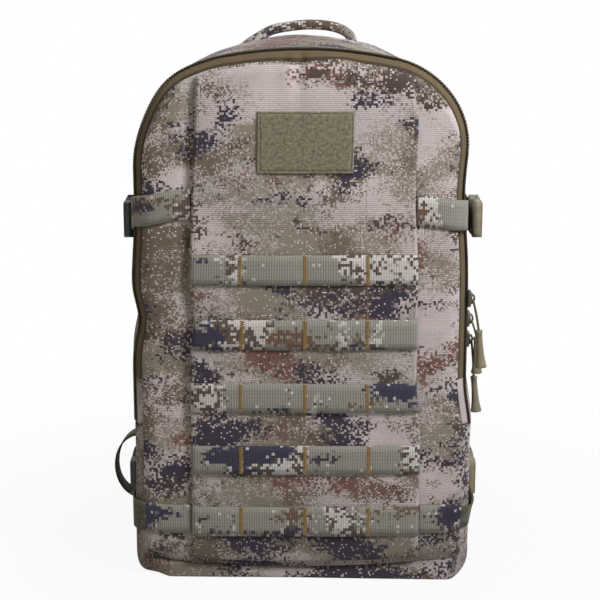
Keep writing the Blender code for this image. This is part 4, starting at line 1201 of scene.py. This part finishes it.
def cord_loop(top, end):
    """A cord that runs up from the grip, through the bridge and down again."""
    spread, inside, bend = Vector((0, 0.0011, 0)), Vector((0, 0, -0.001)), Vector((-0.0008, 0, 0.0012))
    up = [end + spread + inside, (end + top) / 2 + spread * 1.2, top + spread + bend]
    down = [top - spread + bend, (end + top) / 2 - spread * 1.2, end - spread + inside]
    return [*up, top + Vector((-0.002, 0, 0.003)), *down]


for number, x, y, z, cord, out, splay, lean, body in (
    (1, HALF - TAPER, FRONT_ZIP, 0.2425, 0.022, 0.0105, 0.0, 0.08, "front_zip"),
    (2, HALF, MAIN_ZIP, 0.2140, 0.010, 0.0092, -0.0055, 0.02, "main_zip_upper"),
    (3, HALF, MAIN_ZIP, 0.1960, 0.030, 0.0088, 0.0055, 0.09, "main_zip_lower"),
):
    top = Vector((x + 0.0064, y, z - 0.0045))
    end = Vector((x + out, y + splay, top.z - 0.0003 - cord))
    loop, pull = wrapped(36, 8, cord_loop(top, end), 0.00095), f"{body}_pull"
    finish_piece(slider(x, y, z), f"slider_{number}", "slider_metal", f"{body}_slider", f"zip_slider_{number}")
    finish_piece(loop, f"pull_cord_{number}", "pull_cord", pull, f"zip_cord_{number}")
    finish_piece(grip(end, lean), f"pull_grip_{number}", "olive_plastic", pull, f"zip_grip_{number}")
print("zip pulls 3")

# %% [markdown]
# ## Carry handle
# The handle is a length of webbing rolled round a cord and sewn down at both ends. It is a rolled grid with
# a rounded, flat-sided section, slimmer at its feet. A flat tab of webbing under each foot stays on the bag.

# %% Handle and its tabs
HANDLE_FOOT, HANDLE_RISE, HANDLE_Y, HANDLE_APEX, HANDLE_THICK = 0.44336, 0.01589, 0.045, 0.006, 0.0043
HANDLE_SIDES = {"left": (0.0585, 1.6), "right": (0.0370, 2.3)}
TOP_MIDDLE = UPPER_RUNS[0] + UPPER_RUNS[1] + BODY_EDGE["arch"] * (pi / 2 - BODY_EDGE["right"][2])


def power(value, exponent):
    return copysign(abs(value) ** exponent, value)


def handle_centre(u):
    """A hump that falls slowly to the left and steeply to the right, as a used handle does."""
    turn = pi * min(1.0, max(0.0, u))
    reach, square = HANDLE_SIDES["left" if turn < pi / 2 else "right"]
    x = HANDLE_APEX - power(cos(turn), 2 / square) * reach
    drop = 0.0055 * smooth((-0.022 - x) / 0.030)
    return Vector((x, HANDLE_Y, HANDLE_FOOT - drop + HANDLE_RISE * max(0.0, sin(turn)) ** (2 / square)))


def handle_place(u, v):
    along = (handle_centre(u + 0.02) - handle_centre(u - 0.02)).normalized()
    up = Vector((-along.z, 0, along.x))
    deep = 0.0045 + 0.0035 * smooth(3 * sin(pi * u))
    turn = 2 * pi * v
    across = Vector((0, deep * power(cos(turn), 0.7), 0))
    return handle_centre(u) + across + up * HANDLE_THICK * power(sin(turn), 0.7)


handle = tube(64, 24, handle_place, (1.11, 0.666))
handle = finish_piece(handle, "handle_roll", "camo_webbing", None, "carry_handle")
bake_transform(handle)
for label, onward in (("left", 1), ("right", -1)):
    def tab_place(u, v):
        way = TOP_MIDDLE + onward * (0.034 + 0.034 * (u if onward > 0 else 1 - u))
        x, z = upper_rim(-0.0014, way)
        return settle(x, HANDLE_Y + 0.011 - 0.022 * v, z)
    sew(f"handle_tab_{label}", (14, 8), tab_place, (0.5, 0.7), "camo_webbing", "pack", None, THIN)
print("handle rises to", round(HANDLE_FOOT + HANDLE_RISE + HANDLE_THICK, 4))

# %% [markdown]
# ## Pads that swell
# The back pads and the shoulder straps are foam in a sewn cover. Such a piece is flat where it rests and
# crowned elsewhere, which cloth with a little pressure gives for free: a slim block is remeshed into even
# squares, blown up for twenty frames, and held back where it would move too far.

# %% Inflate helper
VOXEL, PRESSURE, FRAMES = 0.005, 4, 20


def baked(thing):
    """Replaces an object's mesh by what its modifiers make of it."""
    graph = bpy.context.evaluated_depsgraph_get()
    thing.data = bpy.data.meshes.new_from_object(thing.evaluated_get(graph))
    thing.modifiers.clear()


def inflate(build, name, finishes, body, node, cap, keep):
    """Blows a closed shape up as a sewn cover; keep puts a point back where it may not go."""
    start = put(name + "_start", as_mesh(build, name + "_start"))
    even = start.modifiers.new("even", "REMESH")
    even.mode = "VOXEL"
    even.voxel_size = VOXEL
    baked(start)
    rest = [vert.co.copy() for vert in start.data.vertices]
    cover = start.modifiers.new("cover", "CLOTH")
    cover.settings.use_pressure = True
    cover.settings.uniform_pressure_force = PRESSURE
    cover.settings.effector_weights.gravity = 0
    for step in range(FRAMES):
        scene.frame_set(step + 1)
    baked(start)
    result = bmesh.new()
    result.from_mesh(start.data)
    bpy.data.objects.remove(start)
    flat = result.loops.layers.uv.new("UVMap")
    result.verts.ensure_lookup_table()
    for vert, home in zip(result.verts, rest):
        move = vert.co - home
        if move.length > cap:
            vert.co = home + move * (cap / move.length)
        vert.co = keep(vert.co)
    bmesh.ops.smooth_vert(result, verts=result.verts, factor=0.4, use_axis_x=True, use_axis_y=True, use_axis_z=True)
    for face in result.faces:
        for corner in face.loops:
            corner[flat].uv = (corner.vert.co.x + 3, corner.vert.co.z + 0.2)
    piece = finish_piece(result, name, finishes, body, node, levels=1)
    return piece


print("cover pressure", PRESSURE, "frames", FRAMES)


# %% Back pads
def on_the_back(point):
    return Vector((point.x, min(max(point.y, BACK_Y + 0.0002), BACK_Y + 0.0125), point.z))


for name, x0, x1, z0, z1, node in (
    ("lumbar_cushion", -0.071, 0.071, 0.042, 0.148, "lumbar_pad"),
    ("back_cushion_left", -0.102, -0.016, 0.167, 0.383, "back_pad_left"),
    ("back_cushion_right", 0.016, 0.102, 0.167, 0.383, "back_pad_right"),
):
    build = bmesh.new()
    verts = block(build, (x0, BACK_Y + 0.0005, z0), (x1, BACK_Y + 0.0085, z1))
    round_edges(build, edges_along(verts, 1), 0.020, 5)
    inflate(build, name, "spacer_mesh", "pack", node, 0.006, on_the_back)
print("back pads 3")


# %% Shoulder straps
def strap_point(share):
    """Middle line of a shoulder strap, from its yoke, bowed off the back, to its lower end."""
    y = BACK_Y + 0.0033 + 0.020 * share + 0.058 * sin(pi * share) ** 1.2
    return Vector((0.055 + 0.037 * smooth(share), y, 0.418 - 0.248 * share))


def strap_frame(share):
    """The middle of a shoulder strap, the way out of its face, and half its width."""
    ahead = strap_point(min(1.0, share + 0.01)) - strap_point(max(0.0, share - 0.01))
    along = Vector((0, ahead.y, ahead.z)).normalized()
    return strap_point(share), Vector((0, -along.z, along.y)), 0.031 - 0.011 * share


def strap_block(side):
    def place(u, v):
        middle, out, wide = strap_frame(u)
        thick = 0.0022 + 0.0026 * min(1.0, 6 * u, 6 * (1 - u))
        turn = 2 * pi * v * side
        spot = middle + Vector((wide * 0.97 * power(cos(turn), 0.5), 0, 0)) + out * thick * power(sin(turn), 0.5)
        return Vector((side * spot.x, spot.y, spot.z))
    build = tube(60, 28, place)
    bmesh.ops.recalc_face_normals(build, faces=build.faces)
    return build


def off_the_back(point):
    return Vector((point.x, max(point.y, BACK_Y + 0.0004), min(0.4185, max(0.1700, point.z))))


for label, side in SIDES:
    cover = inflate(
        strap_block(side), f"shoulder_cover_{label}", "camo_cloth spacer_mesh", f"shoulder_strap_{label}",
        f"shoulder_pad_{label}", 0.004, off_the_back,
    )
    for face in cover.data.polygons:
        face.material_index = 1 if face.normal.y < -0.35 else 0
print("shoulder straps 2")


# %% Strap binding and lower webbing
def binding_line(side):
    """Round the edge of a strap: down its outer side, across its end and up its inner side."""
    line = []
    for edge, steps in ((1, range(25)), (-1, range(24, -1, -1))):
        for step in steps:
            middle, _, wide = strap_frame(step / 24)
            line.append(Vector((side * (middle.x + edge * wide), middle.y, middle.z)))
    return line


LOCK_Y, LOCK_Z, LOCK_X = BACK_Y + 0.0233, 0.1577, 0.092
for label, side in SIDES:
    bound = wrapped(150, 8, binding_line(side), 0.0022, (0.2, 0.2))
    finish_piece(bound, f"strap_binding_{label}", "olive_webbing", f"shoulder_strap_{label}")
    low, high = Vector((side * 0.116, BACK_Y + 0.0012, 0.034)), Vector((side * LOCK_X, LOCK_Y, LOCK_Z - 0.0125))
    line = [low.lerp(high, step / 8) for step in range(9)]
    for step, spot in enumerate(line):
        spot.y = low.y + (high.y - low.y) * (step / 8) ** 1.5 + 0.0007
    web = cloth_grid(40, 4, webbing_place(line, [Vector((-WEB, 0, 0))] * 9), (0.4, 0.6))
    web.normal_update()
    bmesh.ops.solidify(web, geom=web.faces[:], thickness=BAND)
    web = finish_piece(web, f"adjusting_webbing_{label}", "camo_webbing", None, f"shoulder_webbing_{label}")
    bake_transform(web)
    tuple(low)
    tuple(high)
print("adjusting webbing 2")


# %% Ladder locks
def ladder_lock(side):
    """A flat frame with two bars and a lip that the thumb lifts."""
    build = bmesh.new()
    x0, x1 = side * LOCK_X - 0.018, side * LOCK_X + 0.018
    y0, y1 = LOCK_Y - 0.0025, LOCK_Y + 0.0025
    z0, z1 = LOCK_Z - 0.012, LOCK_Z + 0.012
    bar, left, right = 0.0045, x0 + 0.003, x1 - 0.003
    for low, high in (
        ((x0, y0, z0), (x0 + bar, y1, z1)), ((x1 - bar, y0, z0), (x1, y1, z1)),
        ((left, y0, z1 - bar), (right, y1, z1)), ((left, y0, z0), (right, y1, z0 + bar)),
        ((left, y0 + 0.0012, LOCK_Z - 0.0016), (right, y1 - 0.0008, LOCK_Z + 0.0016)),
    ):
        rounded_block(build, low, high, 0.0011, 3)
    return build


for label, side in SIDES:
    body = f"shoulder_strap_{label}"
    finish_piece(ladder_lock(side), f"ladder_frame_{label}", "dark_plastic", body, f"ladder_lock_{label}")
print("ladder locks 2")

# %% [markdown]
# ## Floor and light
# The pack stands in soft studio light on a pale floor. One broad lamp high on the right models the front and
# leaves the left edge of the webbing field in shadow. A weak warm one fills from the left, a third lights the
# back, and the world adds the rest. The background is white to the camera, while its light stays plain.


# %% Floor
def seen_directly(tree):
    """1 for what the camera sees, also in a mirror or through glass, and 0 for light on other surfaces."""
    path = tree.nodes.new("ShaderNodeLightPath")
    seen = compute("MAXIMUM", path.outputs["Is Camera Ray"], path.outputs["Is Glossy Ray"])
    return compute("MAXIMUM", seen, path.outputs["Is Transmission Ray"])


build = bmesh.new()
bmesh.ops.create_grid(build, x_segments=1, y_segments=1, size=4.0)
floor = put("floor", as_mesh(build, "floor"))
floor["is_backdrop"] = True
shader = new_finish("pale_floor", 0.9)
tree = shader.id_data
shader.inputs["Base Color"].default_value = (0.45, 0.45, 0.45, 1)
glow = knot("Emission", {"Color": (1, 1, 1, 1), "Strength": 1.0}, tree=tree)
away = knot("VectorMath", {0: place_of(shader, "Object")}, 1, operation="LENGTH")
shown = compute("MULTIPLY", seen_directly(tree), ramp(away, 0.20, 0.55, 0.93, 1.0))
paper = knot("MixShader", {0: shown, 1: shader.outputs[0], 2: glow})
tree.links.new(paper, tree.nodes["Material Output"].inputs["Surface"])
floor.data.materials.append(FINISHES["pale_floor"])
print("floor at z = 0")

# %% World and lamps
world = scene.world = bpy.data.worlds.new("studio")
world.use_nodes = True
tree = world.node_tree
background = tree.nodes["Background"].inputs
tree.links.new(ramp(seen_directly(tree), 0.0, 1.0, 0.25, 1.0), background["Strength"])
background["Color"].default_value = (1, 1, 1, 1)


def lamp(name, place, target, size, watts, colour):
    data = bpy.data.lights.new(name, "AREA")
    data.color, data.size, data.energy = colour, size, watts
    made = put(name, data)
    made.location = place
    made.rotation_euler = (Vector(target) - Vector(place)).to_track_quat("-Z", "Y").to_euler()


lamp("key", (0.62, -0.66, 1.08), (0, -0.05, 0.30), 0.42, 15.4, (1.0, 1.01, 1.07))
lamp("fill", (-1.3, -1.2, 0.9), (0, 0, 0.25), 1.2, 3.4, (1.0, 0.82, 0.62))
lamp("back", (0.3, 1.5, 1.4), (0, 0, 0.3), 1.2, 8, (1.0, 1.0, 1.0))
print("lamps 3")

# %% [markdown]
# ## Size
# The box of the dressed pack is printed beside the box of the plain one. The dressed
# pack has to stay the size of the plain one.

# %% Compare the boxes
new_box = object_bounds()
for axis, name in enumerate("xyz"):
    print(name, [round(cad_box[i][axis], 4) for i in (0, 1)], [round(new_box[i][axis], 4) for i in (0, 1)])
